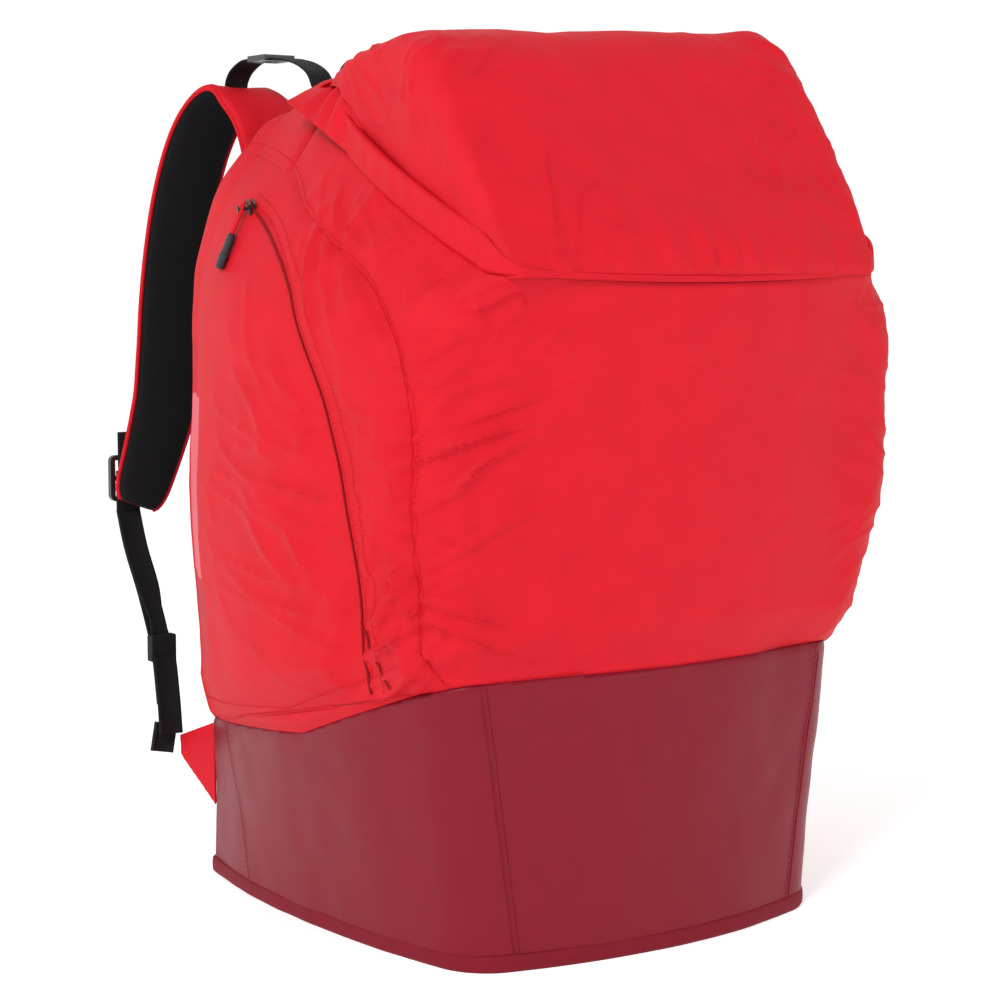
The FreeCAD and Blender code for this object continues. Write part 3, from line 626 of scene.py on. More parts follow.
def zip_field(p):
    """Positive inside the zip circle of whichever side the point is on."""
    q = p.copy()
    q[..., 0] = -np.abs(q[..., 0])
    _, _, out = zip_frame()
    d = q - ZIP_CENTRE
    d = d - (d @ out)[..., None] * out
    return ZIP_RADIUS - np.linalg.norm(d, axis=-1)


def fold_field(p):
    """Positive on the zip side of the straight fold that the pocket mouth turns about."""
    q = p.copy()
    q[..., 0] = -np.abs(q[..., 0])
    _, _, out = zip_frame()
    line = FOLD_STOP - FOLD_START
    line /= np.linalg.norm(line)
    toward = np.cross(line, out)
    if (zip_point(np.array(ZIP_TURN / 2)) - FOLD_START) @ toward < 0:
        toward = -toward
    return (q - FOLD_START) @ toward - FOLD_INNER


def top_field(p):
    """Positive above the edge where the body stops: the mouth zip in front, the deck behind."""
    below = 0.0025 + 0.0037 * smooth_step(-0.215, -0.195, p[..., 1])
    return p[..., 2] - np.where(p[..., 1] < HINGE_Y, mouth_z(p[..., 1]) - below, deck_z(p[..., 1]) - 0.001)


def snap(p, field, allowed, fixed):
    """Moves the grid points nearest a seam onto it, along their own grid edges; returns the mask of them."""
    f = field(p)
    best = np.full(f.shape, 1e9)
    target = p.copy()
    for axis, step in ((0, 1), (0, -1), (1, 1), (1, -1)):
        near = np.roll(p, -step, axis)
        value = np.roll(f, -step, axis)
        crossing = (f * value < 0) & (np.abs(f) <= np.abs(value))
        if axis == 0:
            crossing[-1 if step == 1 else 0] = False
        share = np.abs(f) / np.maximum(np.abs(f) + np.abs(value), 1e-12)
        length = share * np.linalg.norm(near - p, axis=-1)
        use = crossing & allowed & ~fixed & (length < best)
        best[use] = length[use]
        target[use] = (p + (near - p) * share[..., None])[use]
    moved = best < 1e8
    p[moved] = target[moved]
    fixed |= moved
    return moved


def crease(points, direction, long, short, seed):
    """Narrow ridges running along a direction: 0 between them, 1 on them."""
    direction = np.asarray(direction, float)
    direction = direction / np.linalg.norm(direction)
    along_it = points @ direction
    rest = points - along_it[..., None] * direction
    wave = soft_noise(rest / short + (along_it / long)[..., None] * direction + 11.3, 1.0, seed)
    return np.clip(1 - np.abs(wave) * 2.2, 0, 1) ** 2


def near_spot(points, spot, radius):
    """1 at a spot, fading out round it; a spot on the left counts on both sides."""
    d = points.copy()
    if spot[0] < 0:
        d[..., 0] = -np.abs(d[..., 0])
    return np.exp(-(((d - np.array(spot)) ** 2).sum(-1)) / radius ** 2)


CACHE = {}
SEAMS = ("base", "top", "back", "side", "yoke", "zip", "fold")
RING_ROWS = (62, 14, 34, 46, 20, 30)     # grid rows between each ring and the next
HALF_COLUMNS = 240
# how deep each seam pulls the cloth in
SEAM_PULL = {"base": 0.6, "back": 0.8, "side": 0.6, "yoke": 0.6, "zip": 0.35, "top": 1.3}
# creases: middle, radius, direction, depth, seed
BODY_CREASES = (
    ((-0.17, -0.19, 0.33), 0.055, (0.75, -0.25, 0.35), 0.0042, 21),
    ((-0.16, -0.20, 0.40), 0.050, (0.80, -0.20, 0.25), 0.0036, 22),
    ((-0.18, -0.18, 0.25), 0.050, (0.70, -0.30, -0.35), 0.0036, 23),
    ((-0.20, -0.13, 0.25), 0.060, (0.05, 0.70, -0.65), 0.0042, 24),
    ((-0.20, -0.14, 0.20), 0.045, (0.05, 0.70, -0.40), 0.0036, 25),
    ((-0.21, -0.06, 0.30), 0.090, (0.0, 0.95, 0.20), 0.0034, 26),
    ((-0.19, -0.06, 0.44), 0.060, (0.10, 0.60, 0.75), 0.0034, 27),
    ((-0.16, -0.09, 0.49), 0.050, (0.65, 0.35, 0.60), 0.0038, 28),
    ((-0.14, -0.17, 0.45), 0.050, (0.60, 0.10, 0.75), 0.0030, 29),
)


def form_grid():
    """The outer form as a closed grid of points, softened over the belly, and the run round it."""
    t = np.concatenate([np.linspace(k, k + 1, n, endpoint=False) for k, n in enumerate(RING_ROWS)]
                       + [[float(MOUTH_RING)]])
    middle = RING_TABLE[:, 3]
    run = np.concatenate([[0], np.cumsum(np.linalg.norm(np.diff(middle, axis=0), axis=1))])
    even = np.linspace(0, run[-1], HALF_COLUMNS)
    s = np.interp(even, run, FINE_S)
    grid_t, grid_s = np.meshgrid(t, s, indexing="ij")
    half = skin_at(grid_s, grid_t)
    kernel = np.exp(-0.5 * (np.arange(-10, 11) / 4.0) ** 2)
    kernel /= kernel.sum()
    padded = np.concatenate([np.repeat(half[:1], 10, 0), half, np.repeat(half[-1:], 10, 0)])
    soft = sum(w * padded[k:k + len(half)] for k, w in enumerate(kernel))
    above = half[..., 2] - along(BASE_SEAM, half[..., 1])
    share = (smooth_step(0.028, 0.060, above) * (1 - smooth_step(5.4, 6.0, grid_t)))[..., None]
    half = half * (1 - share) + soft * share
    points = np.concatenate([half[:, -2:0:-1] * np.array([-1, 1, 1]), half], 1)
    return points, np.concatenate([-even[-2:0:-1], even])


def lay_seams(p):
    """Moves grid points onto every seam; returns the points of each seam and the distances to them."""
    fixed = np.zeros(p.shape[:2], bool)
    on_seam = {"base": snap(p, base_field, np.ones(p.shape[:2], bool), fixed)}
    above = base_field(p) > -0.0005
    on_seam["top"] = snap(p, top_field, above, fixed)
    on_seam["back"] = snap(p, lambda q: q[..., 1] - BACK_SEAM_Y, above, fixed)
    on_seam["side"] = snap(p, side_field, above & (p[..., 1] < BACK_SEAM_Y + 0.001), fixed)
    on_seam["yoke"] = snap(p, lambda q: q[..., 1] - HINGE_Y, above & (side_field(p) < 0), fixed)
    mouth = (fold_field(p) > -0.0005) & (side_field(p) > 0) & (np.abs(p[..., 0]) > 0.1) & above
    on_seam["zip"] = snap(p, zip_field, mouth, fixed)
    mouth = (zip_field(p) > -0.0005) & (side_field(p) > 0) & (np.abs(p[..., 0]) > 0.1)
    on_seam["fold"] = snap(p, fold_field, mouth, fixed)
    fields = {"base": base_field(p), "top": top_field(p), "back": p[..., 1] - BACK_SEAM_Y,
              "side": side_field(p), "yoke": p[..., 1] - HINGE_Y, "zip": zip_field(p), "fold": fold_field(p)}
    return on_seam, fields


def cut_panels(p, on_seam, fields):
    """Faces of the grid, split along the seams, and the panel that each belongs to."""
    signs = {k: np.where(on_seam[k], 0, np.sign(v)).ravel() for k, v in fields.items()}
    split_on = np.any([on_seam[k] for k in SEAMS], axis=0).ravel()
    faces = []
    for a, b, c, d in grid_faces(*p.shape[:2], close_columns=True):
        if split_on[a] and split_on[c] and not (split_on[b] and split_on[d]):
            faces += [(a, b, c), (a, c, d)]
        elif split_on[b] and split_on[d] and not (split_on[a] and split_on[c]):
            faces += [(a, b, d), (b, c, d)]
        else:
            faces.append((a, b, c, d))
    side_x = np.sign(p[..., 0]).ravel()
    total = {k: np.array([v[list(f)].sum() for f in faces]) for k, v in signs.items()}
    lateral = np.array([side_x[list(f)].sum() for f in faces])
    label = np.full(len(faces), "front", dtype=object)
    label[(total["side"] < 0) & (total["yoke"] > 0)] = "yoke"
    label[total["side"] > 0] = "side"
    label[(total["side"] > 0) & (total["zip"] > 0) & (total["fold"] > 0)] = "mouth"
    label[total["back"] > 0] = "back"
    label[total["base"] < 0] = "base"
    label[(total["top"] > 0) & (total["base"] > 0)] = "off"
    for k in ("side", "mouth"):
        for name, sign in SIDES:
            label[(label == k) & (np.sign(lateral) == sign)] = k + "_" + name
    return faces, label


def cloth_relief(p, on_seam, fields, amount):
    """How far the cloth stands off the form: drawn in at the seams, full between them, and creased."""
    low = np.zeros(p.shape[:2])
    pucker = np.zeros(p.shape[:2])
    distance = np.full(p.shape[:2], 1e9)
    flat = p.reshape(-1, 3)
    for kind, strength in SEAM_PULL.items():
        d, q = nearest_of(flat[on_seam[kind].ravel()])(flat)
        d, q = d.reshape(p.shape[:2]), q.reshape(p.shape)
        distance = np.minimum(distance, d)
        low = np.maximum(low, strength * np.exp(-(d / 0.0030) ** 2))
        lines = soft_noise(q, 0.011, 3) + 0.6 * soft_noise(q, 0.024, 5)
        pucker += strength * lines * np.exp(-d / 0.016) * (1 - np.exp(-(d / 0.0035) ** 2))
    red = smooth_step(0.0, 0.01, fields["base"])
    back = smooth_step(0.156, 0.166, p[..., 1])
    x, y, z = p[..., 0], p[..., 1], p[..., 2]
    calm = np.where(x > 0.15, 0.4, 1.0)
    relief = -0.0022 * low + 0.0008 * pucker * amount * calm * (0.25 + 0.75 * red) * (1 - 0.6 * back)
    relief += red * (1 - back) * 0.0020 * (1 - np.exp(-(distance / 0.02) ** 2))
    from_zip = nearest_of(flat[on_seam["zip"].ravel()])(flat)[0].reshape(p.shape[:2])
    # the flanks stand out, except where the pull cord hangs
    flank = smooth_step(0.0, 0.012, fields["side"]) * red * smooth_step(0.03, 0.09, BACK_Y - y)
    clear = 1 - np.exp(-(from_zip / 0.040) ** 2)
    relief += 0.0065 * flank * clear * np.exp(-((z - 0.30) / 0.16) ** 4)
    corner = smooth_step(0.008, 0.045, -fields["top"]) * smooth_step(0.13, 0.19, np.abs(x))
    corner = corner * np.exp(-((z - 0.37) / 0.15) ** 4) * (1 - back)
    relief += red * corner * np.where(x > 0, 0.0085, 0.0015) * np.exp(-((y + 0.10) / 0.14) ** 4)
    # the base widens upward, and the side cloth hangs over its edge
    wide = smooth_step(0.09, 0.15, np.abs(x))
    relief += 0.0060 * (1 - red) * smooth_step(0.04, 0.19, z) * wide
    relief += 0.0060 * red * smooth_step(0.06, 0.0, fields["base"]) * wide * (1 - back) * clear
    relief += amount * red * (1 - back) * 0.0016 * soft_noise(p, 0.060, 9)
    relief += amount * (1 - back) * 0.0005 * soft_noise(p, 0.022, 10)
    q = p.copy()
    q[..., 0] = -np.abs(q[..., 0])
    q += np.where(x > 0, 0.31, 0.0)[..., None]
    for spot, radius, direction, depth, seed in BODY_CREASES:
        here = near_spot(p, spot, radius)
        here = here * (1 - np.exp(-(from_zip / 0.014) ** 2)) * np.where(x > 0, 0.35, 1.0)
        relief += amount * red * 1.5 * depth * here * (crease(q, direction, 0.070, 0.013, seed) - 0.2)
    relief += amount * (1 - red) * 0.0010 * soft_noise(p, 0.050, 12)
    return relief * (smooth_step(0.0, 0.02, -fields["top"]) * 0.6 + 0.4)


def skin():
    """The whole outer form as one fine grid: its points, faces, panel of each face, cloth map, normals."""
    if "skin" in CACHE:
        return CACHE["skin"]
    p, u = form_grid()
    on_seam, fields = lay_seams(p)
    faces, label = cut_panels(p, on_seam, fields)
    normal = np.cross(np.roll(p, -1, 1) - np.roll(p, 1, 1), np.gradient(p, axis=0))
    normal /= np.maximum(np.linalg.norm(normal, axis=-1, keepdims=True), 1e-12)
    uv = np.stack([np.broadcast_to(u, p.shape[:2]), p[..., 2]], -1).reshape(-1, 2)
    relief = cloth_relief(p, on_seam, fields, bpy.context.scene.boot_bag_fabric.creases)
    p = p + normal * relief[..., None]
    points = p.reshape(-1, 3)
    triangles = []
    for f in faces:
        triangles.append(f[:3])
        if len(f) == 4:
            triangles.append((f[0], f[2], f[3]))
    tree = BVHTree.FromPolygons([tuple(q) for q in points], triangles)
    CACHE["skin"] = {"points": points, "faces": faces, "label": label, "uv": uv, "tree": tree,
                     "normal": normal.reshape(-1, 3), "grid": p, "u": u}
    return CACHE["skin"]


def nearest_of(points):
    """A search among points: gives the distance to the nearest, and that point."""
    tree = KDTree(len(points))
    for k, q in enumerate(points):
        tree.insert(q, k)
    tree.balance()

    def nearest(queries):
        """Distances from the queries to their nearest points, and those points."""
        index = np.empty(len(queries), np.int64)
        far = np.empty(len(queries))
        for k, q in enumerate(queries):
            _, index[k], far[k] = tree.find(q)
        return far, points[index]
    return nearest


def on_skin(points, lift=0.0):
    """The nearest places on the skin, lifted off it, and its normals there."""
    tree = skin()["tree"]
    places, normals = [], []
    for q in np.asarray(points, float).reshape(-1, 3):
        place, normal, _, _ = tree.find_nearest(Vector(q))
        if normal.dot(Vector((q[0], q[1], 0)).normalized()) < -0.2:
            normal = -normal
        places.append(np.array(place) + np.array(normal) * lift)
        normals.append(np.array(normal))
    return np.array(places), np.array(normals)


def skin_panel(name, labels, slot, prints=False, rim=True):
    """The cloth of one panel, cut from the skin."""
    data = skin()
    keep = [f for f, k in zip(data["faces"], data["label"]) if k in labels]
    used = sorted({i for f in keep for i in f})
    index = {old: new for new, old in enumerate(used)}
    piece = new_piece(name, data["points"][used], [tuple(index[i] for i in f) for f in keep],
                      material(slot, prints), data["uv"][used])
    add_modifier(piece, "SOLIDIFY", "cloth thickness", thickness=BODY_CLOTH, offset=-1, use_rim=rim)
    return piece


def box_uv(mesh):
    """UV map in metres, laid on from the side each face looks to."""
    layer = mesh.uv_layers.get("Cloth") or mesh.uv_layers.new(name="Cloth")
    count = len(mesh.loops)
    index = np.empty(count, np.int64)
    mesh.loops.foreach_get("vertex_index", index)
    co = np.empty(len(mesh.vertices) * 3)
    mesh.vertices.foreach_get("co", co)
    co = co.reshape(-1, 3)[index]
    sizes = np.empty(len(mesh.polygons), np.int64)
    mesh.polygons.foreach_get("loop_total", sizes)
    normals = np.empty(len(mesh.polygons) * 3)
    mesh.polygons.foreach_get("normal", normals)
    main = np.abs(np.repeat(normals.reshape(-1, 3), sizes, 0)).argmax(1)
    pick = np.array([(1, 2), (0, 2), (0, 1)])[main]
    uv = np.take_along_axis(co, pick, 1).astype(np.float32)
    layer.data.foreach_set("uv", uv.ravel())


def soft_copy(name, node, slot, body, voxel=0.0015, rounds=6, plump=0.0):
    """A softened copy of a plain CAD solid, which it stands for."""
    source = frame["nodes"][node]
    mesh = source.data.copy()
    piece = bpy.data.objects.new(name, mesh)
    bpy.context.scene.collection.objects.link(piece)
    mesh.materials.clear()
    add_modifier(piece, "REMESH", "remesh", mode="VOXEL", voxel_size=voxel)
    add_modifier(piece, "SMOOTH", "soften", factor=0.5, iterations=rounds)
    if plump:
        add_modifier(piece, "DISPLACE", "fill", strength=plump, mid_level=0.0)
    depsgraph = bpy.context.evaluated_depsgraph_get()
    final = bpy.data.meshes.new_from_object(piece.evaluated_get(depsgraph))
    piece.modifiers.clear()
    piece.data = final
    final.materials.clear()
    final.materials.append(material(slot))
    final.polygons.foreach_set("use_smooth", [True] * len(final.polygons))
    box_uv(final)
    return attach(piece, body, slot, node)


def slim_down(piece, factors):
    """Shrinks a piece about its own middle."""
    mesh = piece.data
    middle = sum((v.co for v in mesh.vertices), Vector()) / len(mesh.vertices)
    for vertex in mesh.vertices:
        vertex.co = middle + Vector(a * b for a, b in zip(vertex.co - middle, factors))


def dress(node, slot, bevel=0.0005, segments=3):
    """Material and softened edges on a CAD node that stays as it is."""
    piece = frame["nodes"][node]
    piece.data.materials.clear()
    piece.data.materials.append(material(slot))
    add_modifier(piece, "BEVEL", "edge", width=bevel, segments=segments, limit_method="ANGLE",
                 angle_limit=math.radians(40),
                 use_clamp_overlap=True)
    add_modifier(piece, "WEIGHTED_NORMAL", "shading")


def resample(line, count):
    """Even points along a line, and the run to each."""
    run = np.concatenate([[0], np.cumsum(np.linalg.norm(np.diff(line, axis=0), axis=1))])
    even = np.linspace(0, run[-1], count)
    return np.stack([np.interp(even, run, line[:, k]) for k in range(line.shape[1])], -1), even


# ------------------------------------------------------------------ body, base and pockets
def build_panels():
    """Front, base, back and side cloth, the yoke and the bottom."""
    attach(skin_panel("front_cloth", {"front"}, "red_fabric"), "pack", "red_fabric", "front_panel")
    attach(skin_panel("base_cloth", {"base"}, "burgundy_fabric"), "pack", "burgundy_fabric", "base_tub")
    attach(skin_panel("back_cloth", {"back"}, "back_mesh"), "pack", "back_mesh", "back_panel")
    for side, _ in SIDES:
        cloth = skin_panel(f"side_cloth_{side}", {"side_" + side}, "red_fabric", prints=True, rim=False)
        attach(cloth, "pack", "red_fabric", f"side_panel_{side}")
    yoke_cloth()
    dress("bottom_panel", "burgundy_fabric", 0.0008)


def yoke_cloth():
    """Top of the bag behind the lid: up the shoulders and flat across the deck."""
    grid = skin()["grid"]
    cols = grid.shape[1]
    right = grid[:, cols // 2:]
    rows = []
    ys = np.concatenate([np.linspace(HINGE_Y, 0.1640, 48), np.linspace(0.1650, 0.1668, 3)])
    for y in ys:
        wall = []
        for row in right:
            order = row[row[:, 1].argsort()]
            lateral = order[order[:, 0] > 0.03]
            if len(lateral) and lateral[0, 1] <= y <= lateral[-1, 1]:
                wall.append((np.interp(y, lateral[:, 1], lateral[:, 0]),
                             np.interp(y, lateral[:, 1], lateral[:, 2])))
        wall = np.array(wall)
        if y < BACK_SEAM_Y:
            seam = float(np.interp(y, SIDE_SEAM[:, 1], SIDE_SEAM[:, 2]))
        else:
            seam = float(deck_z(y)) - 0.006
        floor = seam - 0.004
        roof = float(deck_z(y))
        zs = np.linspace(floor, roof, 16)
        order = wall[:, 1].argsort()
        side = np.stack([np.interp(zs, wall[order, 1], wall[order, 0]), zs], -1)
        across = np.linspace(side[-1, 0], 0, 60)[1:]
        top = np.stack([across, np.full(len(across), roof)], -1)
        line, _ = resample(np.vstack([side, top]), 90)
        soft = line.copy()
        for _ in range(14):
            soft[1:-1] = (soft[:-2] + 2 * soft[1:-1] + soft[2:]) / 4
        rows.append(np.vstack([soft, (soft * np.array([-1, 1]))[-2::-1]]))
    section = np.array(rows)
    points = np.stack(np.broadcast_arrays(section[..., 0], ys[:, None], section[..., 1]), -1)
    dip = np.exp(-((points[..., 1] - HINGE_Y) / 0.004) ** 2)
    points[..., 2] += 0.0010 * soft_noise(points, 0.045, 14) - 0.0018 * dip
    uv = np.stack(np.meshgrid(np.linspace(0, 0.5, points.shape[1]), ys), -1).reshape(-1, 2)
    piece = new_piece("yoke_cloth", points.reshape(-1, 3), [f[::-1] for f in grid_faces(*points.shape[:2])],
                      material("red_fabric"), uv)
    add_modifier(piece, "SOLIDIFY", "cloth thickness", thickness=BODY_CLOTH, offset=-1)
    attach(piece, "pack", "red_fabric", "yoke_panel")


def build_binding():
    """Ribbed tape round the bottom edge."""
    data = skin()
    ring = data["grid"][0]
    ring_out = data["normal"].reshape(*data["grid"].shape)[3]
    ring_out = ring_out * np.array([1, 1, 0])
    ring_out /= np.linalg.norm(ring_out, axis=1, keepdims=True)
    section = [(-0.0030, 0.0005), (0.0004, 0.0005), (0.0013, 0.0012), (0.0017, 0.0030), (0.0018, 0.0060),
               (0.0017, 0.0090),
               (0.0013, 0.0110), (0.0003, 0.0118), (-0.0012, 0.0114)]
    across, _ = resample(np.array(section), 18)
    points = (ring[:, None] * np.array([1, 1, 0]) + ring_out[:, None] * across[None, :, :1]
              + np.array([0, 0, 1.0]) * across[None, :, 1:])
    points[..., 2] += 0.0003 * soft_noise(points, 0.02, 31)
    uv = np.stack(np.broadcast_arrays(across[None, :, 1], data["u"][:, None]), -1)
    piece = new_piece("base_binding", points.reshape(-1, 3), grid_faces(*points.shape[:2], close_rows=True),
                      material("burgundy_binding"), uv.reshape(-1, 2))
    attach(piece, "pack", "burgundy_binding", "bottom_binding")


def side_path(line, side, lift=0.0006):
    """A line of (y, z) laid on one side of the bag."""
    sign = -1.0 if side == "left" else 1.0
    tree = skin()["tree"]
    places, normals = [], []
    for y, z in line:
        place, normal, _, _ = tree.ray_cast(Vector((sign * 0.4, y, z)), Vector((-sign, 0, 0)))
        if place is None:
            continue
        if normal.x * sign < 0:
            normal = -normal
        places.append(np.array(place) + np.array(normal) * lift)
        normals.append(np.array(normal))
    return np.array(places), np.array(normals)


def offset_line(line, distance):
    """A flat line moved sideways."""
    line = np.asarray(line, float)
    d = np.gradient(line, axis=0)
    d /= np.linalg.norm(d, axis=1, keepdims=True)
    return line + np.stack([-d[:, 1], d[:, 0]], -1) * distance


def build_stitching():
    """Rows of stitches beside the seams, and the two seams up the corners of the base."""
    stitch = bpy.context.scene.boot_bag_fabric.stitch
    rows = []
    base_rows = []
    for side, sign in SIDES:
        seam = SIDE_SEAM[SIDE_SEAM[:, 2] > along(BASE_SEAM, SIDE_SEAM[:, 1]) + 0.003][:, 1:]
        rows.append(side_path(offset_line(seam, 0.0035), side))
        y = np.linspace(-0.15, 0.155, 120)
        rows.append(side_path(np.stack([y, along(BASE_SEAM, y) + 0.018], -1), side))
        for radial in (0.0055, 0.0165):
            degrees = np.linspace(2, ZIP_TURN - 2, 180)
            rows.append(on_skin(mirror(zip_point(degrees, radial), -sign), 0.0005))
        corner = smooth_path([(0.121, -0.178, 0.013), (0.133, -0.176, 0.10), (0.147, -0.174, 0.192)], 80)
        corner = mirror(corner, sign)
        centre, normals = on_skin(corner)
        seam = ribbon_on_skin(f"base_corner_seam_{side}", centre, normals, 0.0012, 0.0001, "burgundy_binding")
        attach(seam, "pack", "burgundy_binding")
        base_rows.append(on_skin(corner + np.array([-sign * 0.004, 0, 0]), 0.0002))
        rear = np.stack([np.linspace(0.085, 0.118, 60), np.linspace(0.013, 0.125, 60)], -1)
        base_rows.append(side_path(rear, side, 0.0004))
    thread = stitches("body_stitches", rows, stitch, STITCH_GAP, 0.0007, material("red_webbing"))
    attach(thread, "pack", "red_webbing")
    thread = stitches("base_stitches", base_rows, stitch, STITCH_GAP, 0.0006, material("burgundy_binding"))
    attach(thread, "pack", "burgundy_binding")


def even_out(line, rounds=10):
    """A line of points with its small waves taken out."""
    line = np.asarray(line, float).copy()
    for _ in range(rounds):
        line[1:-1] = (line[:-2] + 2 * line[1:-1] + line[2:]) / 4
    return line


def ribbon_on_skin(name, centre, normals, width, lift, slot, crown=0.0, count=7):
    """Flat strip that follows a line of points and normals."""
    centre, normals = even_out(centre), even_out(normals)
    along_it = np.gradient(centre, axis=0)
    along_it /= np.linalg.norm(along_it, axis=1, keepdims=True)
    side = np.cross(normals, along_it)
    side /= np.linalg.norm(side, axis=1, keepdims=True)
    across = np.linspace(-0.5, 0.5, count)
    rise = lift + crown * np.cos(across * math.pi)
    points = (centre[:, None] + side[:, None] * (across * width)[None, :, None]
              + normals[:, None] * rise[None, :, None])
    run = np.concatenate([[0], np.cumsum(np.linalg.norm(np.diff(centre, axis=0), axis=1))])
    uv = np.stack(np.broadcast_arrays((across * width)[None, :], run[:, None]), -1).reshape(-1, 2)
    piece = new_piece(name, points.reshape(-1, 3), grid_faces(*points.shape[:2]), material(slot), uv)
    add_modifier(piece, "SOLIDIFY", "tape thickness", thickness=SEWN_TAPE, offset=0)
    return piece


def build_pockets():
    """Pocket mouths with both halves of their zips, the sliders, the pulls and the linings."""
    for side, sign in SIDES:
        mouth_body = f"pocket_mouth_{side}"
        flap = skin_panel(f"pocket_mouth_cloth_{side}", {"mouth_" + side}, "red_fabric", rim=False)
        fold = mirror((FOLD_START + FOLD_STOP) / 2, -sign)
        middle = mirror(zip_point(np.array(ZIP_TURN / 2)), -sign)
        reach = fold + (middle - fold) * 0.30
        bend_between(flap, ("pack", mouth_body), fold, reach, "red_fabric", f"pocket_flap_{side}")
        degrees = np.linspace(0.5, ZIP_TURN - 0.5, 200)
        centre, normals = on_skin(mirror(zip_point(degrees, TAPE_SHIFT), -sign))
        tape = ribbon_on_skin(f"pocket_zip_tape_{side}", centre, normals, 0.009, TAPE_DEPTH, "zip_tape")
        attach(tape, "pack", "zip_tape", f"pocket_zip_body_{side}")
        opening = np.linspace(ZIP_FREE + 1, ZIP_TURN - ZIP_FREE - 1, 180)
        centre, normals = on_skin(mirror(zip_point(opening, -TAPE_SHIFT), -sign))
        tape = ribbon_on_skin(f"pocket_zip_edge_{side}", centre, normals, 0.008, TAPE_DEPTH, "zip_tape")
        bend_between(tape, ("pack", mouth_body), fold, reach, "zip_tape", f"pocket_zip_flap_{side}")
        # Raised dark strip along the zip line: the zip teeth, and painted shade of the closed zip's gap.
        centre, normals = on_skin(mirror(zip_point(degrees, 0.0006), -sign))
        zip_teeth_and_gap_shade = ribbon_on_skin(f"pocket_zip_teeth_{side}", centre, normals, 0.0019, 0.0005, "zip_tape",
                               crown=0.0004)
        attach(zip_teeth_and_gap_shade, "pack", "zip_tape")
        # Dark strip down from the zip's low end: painted shade of the seam line, which is red cloth with red
        # stitches.
        tail = smooth_path([zip_point(np.array(13.0)), (-0.190, -0.124, 0.218), (-0.183, -0.131, 0.190)], 40)
        centre, normals = on_skin(mirror(tail, -sign))
        seam = ribbon_on_skin(f"pocket_end_seam_{side}", centre, normals, 0.0016, 0.0010, "zip_tape")
        attach(seam, "pack", "zip_tape")
        soft_copy(f"pocket_lining_{side}", f"pocket_liner_{side}", "lining", "pack", 0.0025, 3)
        dress(f"pocket_slider_{side}", "zip_slider", 0.0003)
        pull_loop(side, sign)


# the pull hangs from this point on the slider
PIVOT = np.array((-0.18959327, 0.05325923, 0.49827748))
PULL_UP = np.array((0.34759, -0.12998, 0.92859))
ZIP_OUT = np.array((-0.9218, 0.34471, -0.17737))
# across and up from the pivot
CORD_ROUTE = ((-0.0016, -0.019), (-0.0034, -0.01064), (-0.0036, -0.001), (-0.0024, 0.005), (0.0024, 0.005),
              (0.0036, -0.001), (0.0034, -0.01064), (0.0016, -0.019))


def pull_loop(side, sign):
    """Cord loop through the slider's eye with a moulded grip on its two ends."""
    body = f"pocket_pull_{side}"
    up = PULL_UP / np.linalg.norm(PULL_UP)
    across = np.cross(up, ZIP_OUT)
    across /= np.linalg.norm(across)
    route = [mirror(PIVOT + across * a + up * h, -sign) for a, h in CORD_ROUTE]
    curve = bpy.data.curves.new(f"pull_cord_loop_{side}", "CURVE")
    curve.dimensions = "3D"
    spline = curve.splines.new("NURBS")
    spline.points.add(len(route) - 1)
    for point, place in zip(spline.points, route):
        point.co = (*place, 1.0)
    spline.order_u = 3
    spline.use_endpoint_u = True
    curve.bevel_depth = 0.0012
    curve.bevel_resolution = 4
    curve.resolution_u = 8
    curve.materials.append(material("pull_cord"))
    loop = bpy.data.objects.new(f"pull_cord_loop_{side}", curve)
    bpy.context.scene.collection.objects.link(loop)
    attach(loop, body, "pull_cord", f"pull_cord_{side}")
    stations = (-0.0182, -0.0188, -0.0230, -0.0300, -0.0335, -0.0342, -0.0365, -0.0372, -0.0400, -0.0436,
                -0.0442)
    widths = (0.60, 0.86, 0.92, 0.92, 0.96, 1.14, 1.14, 0.98, 1.02, 0.92, 0.55)
    path = [mirror(PIVOT + up * h, -sign) for h in stations]
    grip = swept(f"pull_grip_moulding_{side}", path, mirror(across, -sign),
                 oval_section(0.0086, 0.0058, 3.2, 32),
                 material("grip_rubber"), widths, widths)
    attach(grip, body, "grip_rubber", f"pull_grip_{side}")


# ------------------------------------------------------------------ lid
def front_edge(a):
    """How far the front arc of the mouth sits behind its middle, at a share of the half-width."""
    return 0.0095 * np.abs(a) ** 2 + 0.012 * np.clip((np.abs(a) - 0.93) / 0.07, 0, 1) ** 2


# (y, half-width)
LID_HALF_WIDTH = ((-0.230, 0.156), (-0.222, 0.1625), (-0.200, 0.164), (-0.120, 0.163), (-0.020, 0.150),
                  (0.031, 0.132))
# creases: middle, radius, direction, depth, seed
LID_CREASES = (
    ((-0.140, -0.130, 0.600), 0.045, (0.8, 0.1, 0.6), 0.0030, 51),
    ((0.140, -0.120, 0.600), 0.045, (-0.8, 0.2, 0.5), 0.0030, 52),
    ((0.120, -0.190, 0.520), 0.060, (0.3, -0.3, 0.9), 0.0026, 53),
    ((-0.120, -0.200, 0.500), 0.060, (0.4, 0.3, 0.9), 0.0024, 54),
    ((-0.155, -0.050, 0.575), 0.060, (0.0, 0.8, 0.6), 0.0024, 55),
)


def lid_lift(y):
    """How far the lower edge of the lid's sides rises over the mouth plane toward the hinge."""
    rise = np.interp(y, *zip(*LID_PROFILE[1:])) - mouth_z(y)
    return 0.5 * rise * smooth_step(-0.075, 0.015, y)


